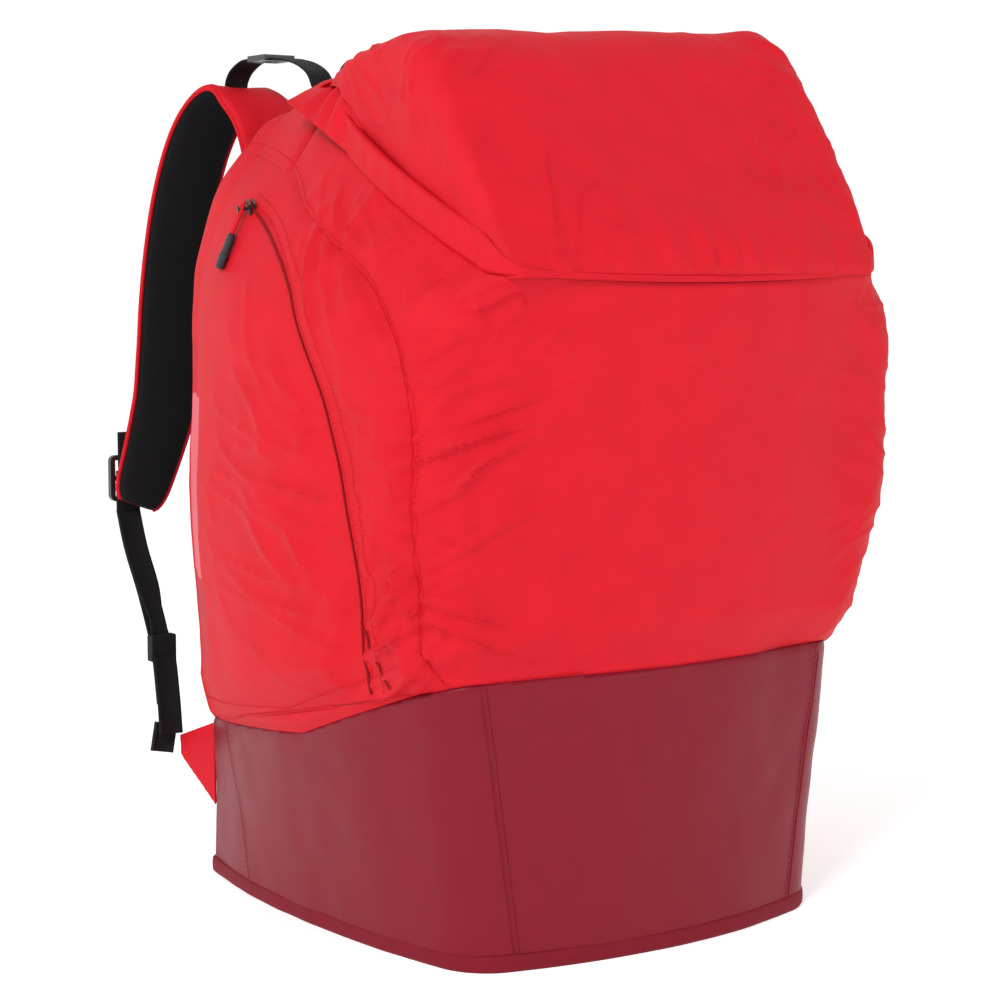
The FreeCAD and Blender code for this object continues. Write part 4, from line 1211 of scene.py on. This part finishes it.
def lid_grid(rows=120, columns=230):
    """Points of the lid's outer cloth, row by row from the brim to the hinge."""
    line, run = resample(smooth_profile(np.array(LID_PROFILE)), rows)
    a = np.linspace(-math.pi / 2, math.pi / 2, 1200)
    c, s = np.cos(a), np.sin(a)
    points = np.zeros((rows, columns, 3))
    for k, (y, z) in enumerate(line):
        share = np.clip((y + 0.230) / 0.10, 0, 1)
        half = float(np.interp(y, *zip(*LID_HALF_WIDTH)))
        rise = max(z - float(mouth_z(y)), 0.0005)
        power = 3.0 + 7.0 * smooth_step(0.0, 0.8, share) - 3.0 * smooth_step(-0.06, 0.02, y)
        arch = np.stack([np.sign(s) * np.abs(s) ** (2 / power) * half, np.abs(c) ** (2 / power) * rise], -1)
        even, _ = resample(arch, columns)
        back = front_edge(even[:, 0] / half) * (1 - share) ** 2
        low = 0.0062 * float(smooth_step(-0.222, -0.202, y)) + lid_lift(y)
        even[:, 1] = low + even[:, 1] * (rise - low) / rise
        points[k] = np.stack([even[:, 0], np.full(columns, y) + back, float(mouth_z(y)) + even[:, 1]], -1)
    return points, run


def smooth_profile(line):
    """A line with its corners rounded off."""
    dense, _ = resample(line, 400)
    soft = dense.copy()
    for _ in range(260):
        soft[1:-1] = (soft[:-2] + 2 * soft[1:-1] + soft[2:]) / 4
    return soft


def lid_relief(points, run, rise, amount):
    """How far the padding and its creases stand off the lid's form."""
    x, y, z = points[..., 0], points[..., 1], points[..., 2]
    down = run[:, None] * np.ones((1, points.shape[1]))
    brim = np.exp(-down / 0.022) * (1 - np.exp(-(down / 0.004) ** 2))
    fine = soft_noise(np.stack([x, 0 * x, 0 * x + down * 0.15], -1), 0.010, 41)
    wide = soft_noise(np.stack([x, 0 * x, 0 * x], -1), 0.021, 42)
    relief = 0.0034 * brim * np.clip(fine + 0.6 * wide, -1, 1) * amount
    relief += 0.0045 * np.exp(-((down - 0.032) / 0.030) ** 2) * np.exp(-(x / 0.13) ** 4)
    relief += 0.0022 * soft_noise(points, 0.070, 43) * amount
    relief += 0.0007 * soft_noise(points, 0.020, 44) * amount
    skirt = np.exp(-rise / 0.015) * (1 - brim)
    relief += 0.0012 * skirt * soft_noise(np.stack([0 * x + np.sign(x), y, 0 * z], -1), 0.016, 45) * amount
    for spot, radius, direction, depth, seed in LID_CREASES:
        here = np.exp(-((points - np.array(spot)) ** 2).sum(-1) / radius ** 2)
        relief += amount * depth * here * (crease(points, direction, 0.05, 0.014, seed) - 0.25)
    edge = smooth_step(0.0, 0.006, rise) * np.where(y < -0.212, 1.0, smooth_step(0.007, 0.030, rise))
    return relief * edge


def build_lid():
    """Padded lid with its lining, the fold of cloth at its hinge, its zip and its storm flap."""
    points, run = lid_grid()
    rows, columns = points.shape[:2]
    normal = -grid_normals(points)
    if normal[rows // 2, columns // 2, 2] < 0:
        normal = -normal
    x, y, z = points[..., 0], points[..., 1], points[..., 2]
    rise = z - mouth_z(y)
    relief = lid_relief(points, run, rise, bpy.context.scene.boot_bag_fabric.creases)
    points = points + normal * relief[..., None]
    ridge = np.exp(-((y + 0.10) / 0.04) ** 2) * smooth_step(0.03, 0.09, rise)
    points[..., 2] += (0.045 * x - 0.0035) * ridge
    hump = np.exp(-((np.abs(x) - 0.142) / 0.022) ** 2) * np.exp(-((y + 0.11) / 0.03) ** 2)
    points[..., 2] += np.where(x > 0, 0.006, 0.002) * hump
    uv = np.stack(np.meshgrid(np.linspace(0, 0.42, columns), run), -1)
    piece = new_piece("lid_cloth", points.reshape(-1, 3), [f[::-1] for f in grid_faces(rows, columns)],
                      material("red_fabric"), uv.reshape(-1, 2))
    add_modifier(piece, "SOLIDIFY", "cloth thickness", thickness=LID_CLOTH, offset=1)
    attach(piece, "lid", "red_fabric", "lid_panel")
    coarse = (slice(2, -2, 3), slice(3, -3, 3))
    inner = (points - normal * LID_LINING_GAP)[coarse]
    lining = new_piece("lid_lining", inner.reshape(-1, 3), grid_faces(*inner.shape[:2]), material("lining"),
                       uv[coarse].reshape(-1, 2))
    attach(lining, "lid", "lining")
    hinge_cloth()
    dress("lid_slider", "zip_slider", 0.0003)
    dress("lid_pull", "red_webbing", 0.0004)
    mouth_tapes()


def hinge_cloth():
    """Strip of cloth from the deck up under the back edge of the lid."""
    share = np.linspace(0, 1, 12)[:, None]
    x = np.linspace(-0.136, 0.136, 90)[None]
    band = np.stack(np.broadcast_arrays(x, 0.044 - 0.020 * share,
                                        0.5788 + 0.0072 * np.sin(share * math.pi / 2)), -1)
    fold = new_piece("lid_hinge_cloth", band.reshape(-1, 3), grid_faces(*band.shape[:2]),
                     material("red_fabric"),
                     band[..., :2].reshape(-1, 2))
    add_modifier(fold, "SOLIDIFY", "cloth thickness", thickness=THIN_CLOTH, offset=0)
    bend_between(fold, ("pack", "lid"), (0, 0.040, 0.580), (0, 0.028, 0.585), "red_fabric")


def mouth_outline(count, stop):
    """Points round the mouth from the left end of the hinge, along the front, to the right end."""
    s = np.linspace(0, 4, 900)
    half = ring_half(RINGS[MOUTH_RING], s)
    half = half[half[:, 1] <= stop]
    x, y = half[:, 0], half[:, 1]
    line = np.stack([np.concatenate([-x[::-1], x[1:]]), np.concatenate([y[::-1], y[1:]])], -1)
    line, run = resample(line, count)
    d = np.gradient(line, axis=0)
    d /= np.linalg.norm(d, axis=1, keepdims=True)
    away = np.stack([d[:, 1], -d[:, 0]], -1)
    return line, away, run


def mouth_strip(name, section, slot, count=420, stop=HINGE_Y - 0.006):
    """Strip round the mouth; section gives (outward, height over the mouth plane) at each share of it."""
    line, away, run = mouth_outline(count, stop)
    share = run / run[-1]
    rows = []
    for k in range(count):
        shape = np.array(section(share[k], line[k]))
        across, _ = resample(shape, 12)
        xy = line[k] + away[k] * across[:, :1]
        rows.append(np.column_stack([xy, mouth_z(line[k][1]) + across[:, 1]]))
    points = np.array(rows)
    uv = np.stack(np.meshgrid(np.linspace(0, 0.02, 12), run), -1).reshape(-1, 2)
    piece = new_piece(name, points.reshape(-1, 3), grid_faces(*points.shape[:2]), material(slot), uv)
    add_modifier(piece, "SOLIDIFY", "tape thickness", thickness=MOUTH_TAPE, offset=0)
    return piece


def mouth_tapes():
    """Zip round the mouth and the folded flap of cloth that keeps the weather off it."""
    lower = mouth_strip("mouth_zip_tape", lambda share, at: [(-0.010, -0.008), (-0.007, -0.0012)], "zip_tape")
    attach(lower, "pack", "zip_tape", "lid_zip_body")
    upper = mouth_strip("lid_zip_tape", lambda share, at: [(-0.007, 0.0), (-0.010, 0.008)], "zip_tape",
                        stop=0.001)
    attach(upper, "lid", "zip_tape", "lid_zip_lid")

    def flap(share, at):
        """Section of the storm flap: a narrow lip in front, and a tall fold along the sides."""
        x, y = at
        tall = float(smooth_step(-0.224, -0.196, y))
        end = float(1 - smooth_step(-0.050, 0.000, y))
        top = 0.0018 + 0.0132 * tall
        low = -0.0022 - 0.0063 * tall
        slim = 0.5 + 0.5 * float(smooth_step(-0.222, -0.205, y)) if x > 0 else 1.0
        bulge = (0.0010 + 0.0050 * tall) * (0.35 + 0.65 * end) * slim
        wave = 0.0006 * math.sin(share * 230) * tall
        return [(0.0006, top - 0.0005), (bulge * 0.9, top + 0.0006 * tall), (bulge + wave, (top + low) * 0.5),
                (bulge * 1.12, low * 0.7), (bulge * 0.9, low), (bulge * 0.4, low + 0.0008)]

    shoulder_gussets()
    attach(mouth_strip("storm_flap_cloth", flap, "red_fabric", stop=0.004), "lid", "red_fabric", "storm_flap")


def shoulder_gussets():
    """Gathered cloth from the shoulders up to the narrow back end of the lid."""
    ys = np.linspace(-0.085, HINGE_Y + 0.012, 66)
    outer = np.interp(ys, (-0.20, -0.12, HINGE_Y), (0.1625, 0.162, 0.158))
    inner = np.interp(ys, (-0.120, -0.020, 0.031), (0.160, 0.145, 0.116))
    high = 0.0075 + lid_lift(np.minimum(ys, 0.030))
    share = np.linspace(0, 1, 22)
    x = outer[:, None] + (inner - outer)[:, None] * share
    z = mouth_z(ys)[:, None] - 0.0046 + (high + 0.004)[:, None] * np.sin(share * math.pi / 2)[None]
    pleat = 0.0022 * np.sin(ys * 260 + 1.2 * np.sin(ys * 90))[:, None] * np.sin(share * math.pi)[None]
    for side, sign in SIDES:
        points = np.stack([sign * (x + pleat * 0.6), np.broadcast_to(ys[:, None], x.shape), z + pleat], -1)
        points[..., 2] += 0.0012 * soft_noise(points, 0.014, 71) * np.sin(share * math.pi)[None]
        uv = np.stack(np.broadcast_arrays(ys[:, None], share[None] * 0.03), -1).reshape(-1, 2)
        piece = new_piece("shoulder_gusset_" + side, points.reshape(-1, 3), grid_faces(*x.shape),
                          material("red_fabric"), uv)
        add_modifier(piece, "SOLIDIFY", "cloth thickness", thickness=THIN_CLOTH, offset=0)
        attach(piece, "pack", "red_fabric")


# ------------------------------------------------------------------ harness
# middle line of the left strap and its widths, and the webbing below it, in millimetres
STRAP = ((-80, 177, 492), (-84, 178, 530), (-90, 184, 562), (-97, 198, 581), (-105, 214, 587.5),
         (-114, 230, 574), (-122, 242, 548), (-130, 249, 510), (-136, 252, 470), (-140, 254, 430),
         (-143, 254, 390), (-148, 253, 352), (-160, 251, 314), (-176, 248, 274))
STRAP_WIDTH = (62, 62, 60, 57, 55, 54, 54, 54, 54, 54, 54, 52, 47, 42)
LOWER_WEB = ((-171, 206, 100), (-170, 212, 130), (-170, 220, 165),
             (-173, 234, 205), (-178, 246, 240), (-178, 258.9, 269))
LIFTER_FRONT = ((-91, 105, 588), (-91, 113, 599), (-91, 128, 606.5), (-92, 146, 611), (-92, 166, 613.2))
LIFTER_REAR = ((-93, 188, 614.2), (-96, 202, 612.6), (-99, 212, 606.5),
               (-101, 216.5, 599), (-101.5, 217.5, 591.5))
ACROSS = (1.0, 0.0, 0.0)


def harness_path(points, sign, count):
    """Soft curve through points of the left side given in millimetres, on the side of that sign."""
    return smooth_path([mirror(np.array(p) / 1000, -sign) for p in points], count)


def strap_widths(count):
    """Width of the strap from its sewn end to its rounded tip."""
    run = np.linspace(0, 1, count)
    width = np.interp(run, np.linspace(0, 1, len(STRAP_WIDTH)), STRAP_WIDTH) / 1000
    return width * (np.sqrt(np.clip(1 - ((run - 0.955) / 0.0455).clip(0, 1) ** 2, 0.02, 1)) * 0.35 + 0.65)


def cover_section(half):
    """Red cloth over the outer face of a strap, thin at its edges; half is half its width."""
    outer = [(-1, -0.0012), (-1.01, 0.0010), (-0.97, 0.0036), (-0.85, 0.0052), (-0.4, 0.0060)]
    inner = [(0.96, 0.0004), (0.80, 0.0040)]
    shares = (outer + [(-x, h) for x, h in outer[::-1]] + inner + [(-x, h) for x, h in inner[::-1]])
    return [(half * x, h) for x, h in shares]


def build_strap(side, sign):
    """Mesh core, red cover and piping of one shoulder strap."""
    path = harness_path(STRAP, sign, 150)
    width = strap_widths(len(path))
    widest = width.max()
    puff = 1 + 0.05 * soft_noise(path, 0.03, 61)
    core = swept(f"strap_mesh_{side}", path, ACROSS, oval_section(widest * 0.94, 0.0095, 3.0, 48),
                 material("strap_fabric"), width / widest, puff)
    start = mirror((-0.099, 0.203, 0.583), -sign)
    end = mirror((-0.113, 0.228, 0.576), -sign)
    bodies = ("pack", f"strap_{side}")
    bend_between(core, bodies, start, end, "strap_fabric", f"strap_yoke_{side}", f"strap_pad_{side}")
    d = np.gradient(path, axis=0)
    section = cover_section(widest / 2)
    if np.cross(np.broadcast_to(ACROSS, path.shape), d)[len(path) // 2, 1] < 0:
        section = [(x, -h) for x, h in section][::-1]
    cover = swept(f"strap_cover_{side}", path, ACROSS, section, material("red_fabric"), width / widest)
    bend_between(cover, bodies, start, end, "red_fabric")
    t = d / np.linalg.norm(d, axis=1, keepdims=True)
    edge_way = np.broadcast_to(ACROSS, path.shape)
    edge_way = edge_way - t * (edge_way * t).sum(1, keepdims=True)
    edge_way = edge_way / np.linalg.norm(edge_way, axis=1, keepdims=True)
    for label, k in (("inner", 1), ("outer", -1)):
        edge = path + edge_way * (k * width[:, None] * 0.497)
        piping = swept(f"strap_piping_{label}_{side}", edge, ACROSS, oval_section(0.0034, 0.0034, 2, 12),
                       material("red_webbing"))
        bend_between(piping, bodies, start, end, "red_webbing")


def build_lower_web(side, sign):
    """Webbing from the anchor tab up to the ladder lock, its loose tail with a sewn hem, and the keeper."""
    bodies = ("pack", f"strap_{side}")
    path = harness_path(LOWER_WEB, sign, 110)
    narrow = 1 - 0.35 * np.exp(-((np.linspace(0, 1, 110) - 0.50) / 0.10) ** 2)
    web = swept(f"lower_webbing_{side}", path, ACROSS, web_section(WEBBING_WIDTH, 0.0018),
                material("webbing"), narrow)
    low = mirror((-0.170, 0.213, 0.135), -sign)
    high = mirror((-0.178, 0.2581, 0.266), -sign)
    bend_between(web, bodies, low, high, "webbing", f"lower_web_{side}")
    tail = swept(f"strap_tail_{side}", path[::-1][:96] + np.array([0, 0.0033, 0]), ACROSS,
                 web_section(0.018, WEBBING_THICKNESS), material("webbing"))
    bend_between(tail, bodies, low, high, "webbing", f"web_tail_{side}")
    hem_path = [mirror((-0.1705 - 0.0045 * f, 0.2155 - 0.001 * f, 0.107 - 0.022 * f), -sign)
                for f in np.linspace(0, 1, 14)]
    hem = swept(f"tail_hem_{side}", hem_path, ACROSS, web_section(WEBBING_WIDTH, 0.0042), material("webbing"))
    attach(hem, "pack", "webbing")
    keeper = soft_copy(f"web_keeper_band_{side}", f"web_keeper_{side}", "webbing", "pack", 0.0008, 4)
    slim_down(keeper, (0.84, 0.80, 0.86))


def build_straps():
    """Both shoulder straps with the webbing, tabs, loops and ladder locks below them."""
    for side, sign in SIDES:
        build_strap(side, sign)
        build_lower_web(side, sign)
        soft_copy(f"anchor_tab_cloth_{side}", f"anchor_tab_{side}", "red_fabric", "pack", 0.0009, 3)
        soft_copy(f"strap_loop_webs_{side}", f"strap_loops_{side}", "webbing", f"strap_{side}", 0.0006, 2)
        dress(f"ladder_lock_{side}", "moulded_plastic", 0.0009)


def build_top_webs():
    """Load lifters and their buckles, the chest strap and the haul handle."""
    section = web_section(WEBBING_WIDTH, WEBBING_THICKNESS)
    for side, sign in SIDES:
        web = swept(f"lifter_webbing_front_{side}", harness_path(LIFTER_FRONT, sign, 50), ACROSS, section,
                    material("webbing"))
        attach(web, "pack", "webbing", f"lifter_web_{side}")
        web = swept(f"lifter_webbing_rear_{side}", harness_path(LIFTER_REAR, sign, 50), ACROSS, section,
                    material("webbing"))
        attach(web, "pack", "webbing")
        dress(f"lifter_lock_{side}", "moulded_plastic", 0.0009)
        soft_copy(f"sternum_webbing_{side}", f"sternum_web_{side}", "webbing", f"sternum_{side}", 0.0006, 2)
    dress("buckle_socket", "moulded_plastic", 0.0008)
    dress("buckle_prong", "moulded_plastic", 0.0008)
    soft_copy("handle_webbing", "haul_handle", "webbing", "haul_handle", 0.0008, 3)


def build_back():
    """Back cushions, lumbar cushion, frame sheet and stay."""
    for side, _ in SIDES:
        pad = soft_copy(f"back_cushion_{side}", f"back_pad_{side}", "back_mesh", "pack", 0.0025, 14, 0.0012)
    pad = soft_copy("lumbar_cushion", "lumbar_pad", "back_mesh", "pack", 0.0025, 14, 0.0012)
    dress("frame_sheet", "stiffener", 0.0004)
    dress("frame_stay", "stay_aluminium", 0.0004)


def build_lining():
    """Inside of the boot compartment, seen when the lid is open."""
    data = skin()
    grid = data["grid"]
    normal = data["normal"].reshape(grid.shape)
    inner = (grid - normal * LINING_GAP)[2:-6:3, ::3]
    roof = np.where(inner[..., 1] < HINGE_Y, mouth_z(inner[..., 1]), deck_z(inner[..., 1])) - 0.010
    inner[..., 2] = np.maximum(np.minimum(inner[..., 2], roof), 0.0045)
    side = np.abs(inner[..., 0])
    inner[..., 0] = np.sign(inner[..., 0]) * np.minimum(side, 0.163)
    inner[..., 1] = np.minimum(inner[..., 1], 0.1535)
    uv = np.stack([np.broadcast_to(data["u"][::3], inner.shape[:2]), inner[..., 2]], -1)
    faces = [f[::-1] for f in grid_faces(*inner.shape[:2], close_columns=True)]
    piece = new_piece("compartment_lining", inner.reshape(-1, 3), faces, material("lining"),
                      uv.reshape(-1, 2))
    attach(piece, "pack", "lining")


# ------------------------------------------------------------------ stage
CAMERA_PLACE = (-0.997, -1.393, 0.470)
CAMERA_TURN = (90 - 6.06, 0, -35.4)      # degrees
CAMERA_LENS = 84.7
WORLD_LIGHT = 0.62
FLOOR_GLOW = 0.42
# name, place, aim, size, power
LAMPS = (("key", (-2.4, -1.6, 2.4), (0, 0, 0.35), 0.9, 62),
         ("front", (1.5, -2.8, 1.3), (0, 0, 0.3), 2.2, 20),
         ("side", (-2.8, 0.6, 0.9), (0, 0, 0.3), 1.6, 8))


def stage_sheet(name, corners, surface):
    """One flat sheet of the stage."""
    mesh = bpy.data.meshes.new(name)
    mesh.from_pydata(corners, [], [(0, 1, 2, 3)])
    mesh.materials.append(surface)
    sheet = bpy.data.objects.new(name, mesh)
    bpy.context.scene.collection.objects.link(sheet)


def build_stage():
    """Pale floor and backdrop, soft lamps and the camera."""
    scene = bpy.context.scene
    pale, _, shader = node_tree("pale_floor")
    shader.inputs["Base Color"].default_value = (0.86, 0.86, 0.86, 1)
    shader.inputs["Roughness"].default_value = 0.9
    shader.inputs["Emission Color"].default_value = WHITE
    shader.inputs["Emission Strength"].default_value = FLOOR_GLOW
    stage_sheet("floor", [(-30, -14, 0), (40, -14, 0), (40, 26, 0), (-30, 26, 0)], pale)
    glow, _, shader = node_tree("backdrop_glow")
    shader.inputs["Base Color"].default_value = (0, 0, 0, 1)
    shader.inputs["Emission Color"].default_value = WHITE
    shader.inputs["Emission Strength"].default_value = 1.0
    stage_sheet("backdrop", [(-30, 26, -1), (40, 26, -1), (40, 26, 22), (-30, 26, 22)], glow)
    world = bpy.data.worlds.new("studio")
    scene.world = world
    world.use_nodes = True
    background = world.node_tree.nodes["Background"]
    background.inputs[0].default_value = WHITE
    background.inputs[1].default_value = WORLD_LIGHT
    for name, place, aim, size, power in LAMPS:
        light = bpy.data.lights.new(name, "AREA")
        light.size = size
        light.energy = power
        lamp = bpy.data.objects.new(name, light)
        lamp.location = place
        lamp.rotation_euler = (Vector(aim) - Vector(place)).to_track_quat("-Z", "Y").to_euler()
        scene.collection.objects.link(lamp)
    camera_data = bpy.data.cameras.new("camera")
    camera_data.sensor_width = 36.0
    camera_data.lens = CAMERA_LENS
    camera = bpy.data.objects.new("camera", camera_data)
    camera.location = CAMERA_PLACE
    camera.rotation_euler = [math.radians(angle) for angle in CAMERA_TURN]
    scene.collection.objects.link(camera)
    scene.camera = camera
    scene.view_settings.view_transform = "Standard"


# ------------------------------------------------------------------ add-on
class BootBagFabric(bpy.types.PropertyGroup):
    """Colours of the cloth and how it is woven, creased and stitched"""
    red: bpy.props.FloatVectorProperty(
        name="Body colour", description="Colour of the main cloth", subtype="COLOR",
        default=(0.610, 0.0045, 0.0150), min=0, max=1)
    burgundy: bpy.props.FloatVectorProperty(
        name="Base colour", description="Colour of the coated cloth of the base", subtype="COLOR",
        default=(0.215, 0.0050, 0.0170), min=0, max=1)
    weave: bpy.props.FloatProperty(
        name="Weave", description="Width of one thread of the main cloth", unit="LENGTH",
        default=0.0011, min=0.0004, max=0.004, precision=5)
    creases: bpy.props.FloatProperty(
        name="Creases", description="How deep the cloth is creased along its seams", subtype="FACTOR",
        default=1.0, min=0.0, max=2.0)
    stitch: bpy.props.FloatProperty(
        name="Stitch", description="Length of one stitch", unit="LENGTH",
        default=0.0026, min=0.001, max=0.006, precision=5)


class BuildStep:
    """Builds one group of pieces, and raises an error when that adds nothing."""
    bl_options = {"REGISTER", "UNDO"}

    def execute(self, context):
        known = set(bpy.data.objects.keys())
        self.build()
        if known.issuperset(bpy.data.objects.keys()):
            raise RuntimeError(self.bl_label + " could not be built")
        return {"FINISHED"}


class BOOTBAG_OT_stage(BuildStep, bpy.types.Operator):
    """Sets up the pale floor, the studio lights and the camera"""
    bl_idname = "boot_bag.stage"
    bl_label = "Floor, lights and camera"
    build = staticmethod(build_stage)


class BOOTBAG_OT_panels(BuildStep, bpy.types.Operator):
    """Builds the front, side, back, yoke and base cloth"""
    bl_idname = "boot_bag.panels"
    bl_label = "Body panels"
    build = staticmethod(build_panels)


class BOOTBAG_OT_binding(BuildStep, bpy.types.Operator):
    """Builds the ribbed tape round the bottom edge"""
    bl_idname = "boot_bag.binding"
    bl_label = "Base binding"
    build = staticmethod(build_binding)


class BOOTBAG_OT_stitching(BuildStep, bpy.types.Operator):
    """Sews the rows of stitches along the seams"""
    bl_idname = "boot_bag.stitching"
    bl_label = "Stitching"
    build = staticmethod(build_stitching)


class BOOTBAG_OT_pockets(BuildStep, bpy.types.Operator):
    """Builds the pocket mouths, zips, pull loops and linings"""
    bl_idname = "boot_bag.pockets"
    bl_label = "Side pockets"
    build = staticmethod(build_pockets)


class BOOTBAG_OT_lid(BuildStep, bpy.types.Operator):
    """Builds the padded lid, its storm flap and its zip"""
    bl_idname = "boot_bag.lid"
    bl_label = "Lid"
    build = staticmethod(build_lid)


class BOOTBAG_OT_straps(BuildStep, bpy.types.Operator):
    """Builds the padded straps, their webbing and ladder locks"""
    bl_idname = "boot_bag.straps"
    bl_label = "Shoulder straps"
    build = staticmethod(build_straps)


class BOOTBAG_OT_top_webs(BuildStep, bpy.types.Operator):
    """Builds the load lifters, the chest strap and the haul handle"""
    bl_idname = "boot_bag.top_webs"
    bl_label = "Top webbing"
    build = staticmethod(build_top_webs)


class BOOTBAG_OT_back(BuildStep, bpy.types.Operator):
    """Builds the back cushions and dresses the stiffener and stay"""
    bl_idname = "boot_bag.back"
    bl_label = "Back padding"
    build = staticmethod(build_back)


class BOOTBAG_OT_lining(BuildStep, bpy.types.Operator):
    """Builds the inside of the boot compartment"""
    bl_idname = "boot_bag.lining"
    bl_label = "Lining"
    build = staticmethod(build_lining)


OPERATORS = (
    BOOTBAG_OT_stage, BOOTBAG_OT_panels, BOOTBAG_OT_binding, BOOTBAG_OT_stitching, BOOTBAG_OT_pockets,
    BOOTBAG_OT_lid, BOOTBAG_OT_straps, BOOTBAG_OT_top_webs, BOOTBAG_OT_back, BOOTBAG_OT_lining,
)


class BOOTBAG_PT_panel(bpy.types.Panel):
    """Sidebar panel of the boot bag builder"""
    bl_label = "Boot Bag"
    bl_idname = "BOOTBAG_PT_panel"
    bl_space_type = "VIEW_3D"
    bl_region_type = "UI"
    bl_category = "Boot Bag"

    def draw(self, context):
        looks = context.scene.boot_bag_fabric
        for key in ("red", "burgundy", "weave", "creases", "stitch"):
            self.layout.prop(looks, key)
        for entry in OPERATORS:
            self.layout.operator(entry.bl_idname)


CLASSES = [BootBagFabric, *OPERATORS, BOOTBAG_PT_panel]


def register():
    """Adds the classes and the fabric settings."""
    for entry in CLASSES:
        bpy.utils.register_class(entry)
    bpy.types.Scene.boot_bag_fabric = bpy.props.PointerProperty(type=BootBagFabric)


def unregister():
    """Takes the fabric settings and the classes away again."""
    del bpy.types.Scene.boot_bag_fabric
    for entry in reversed(CLASSES):
        bpy.utils.unregister_class(entry)


def main():
    """Registers the add-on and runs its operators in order."""
    register()
    bpy.ops.boot_bag.stage()
    bpy.ops.boot_bag.panels()
    bpy.ops.boot_bag.binding()
    bpy.ops.boot_bag.stitching()
    bpy.ops.boot_bag.pockets()
    bpy.ops.boot_bag.lid()
    bpy.ops.boot_bag.straps()
    bpy.ops.boot_bag.top_webs()
    bpy.ops.boot_bag.back()
    bpy.ops.boot_bag.lining()
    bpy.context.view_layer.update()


if __name__ == "__main__":
    main()
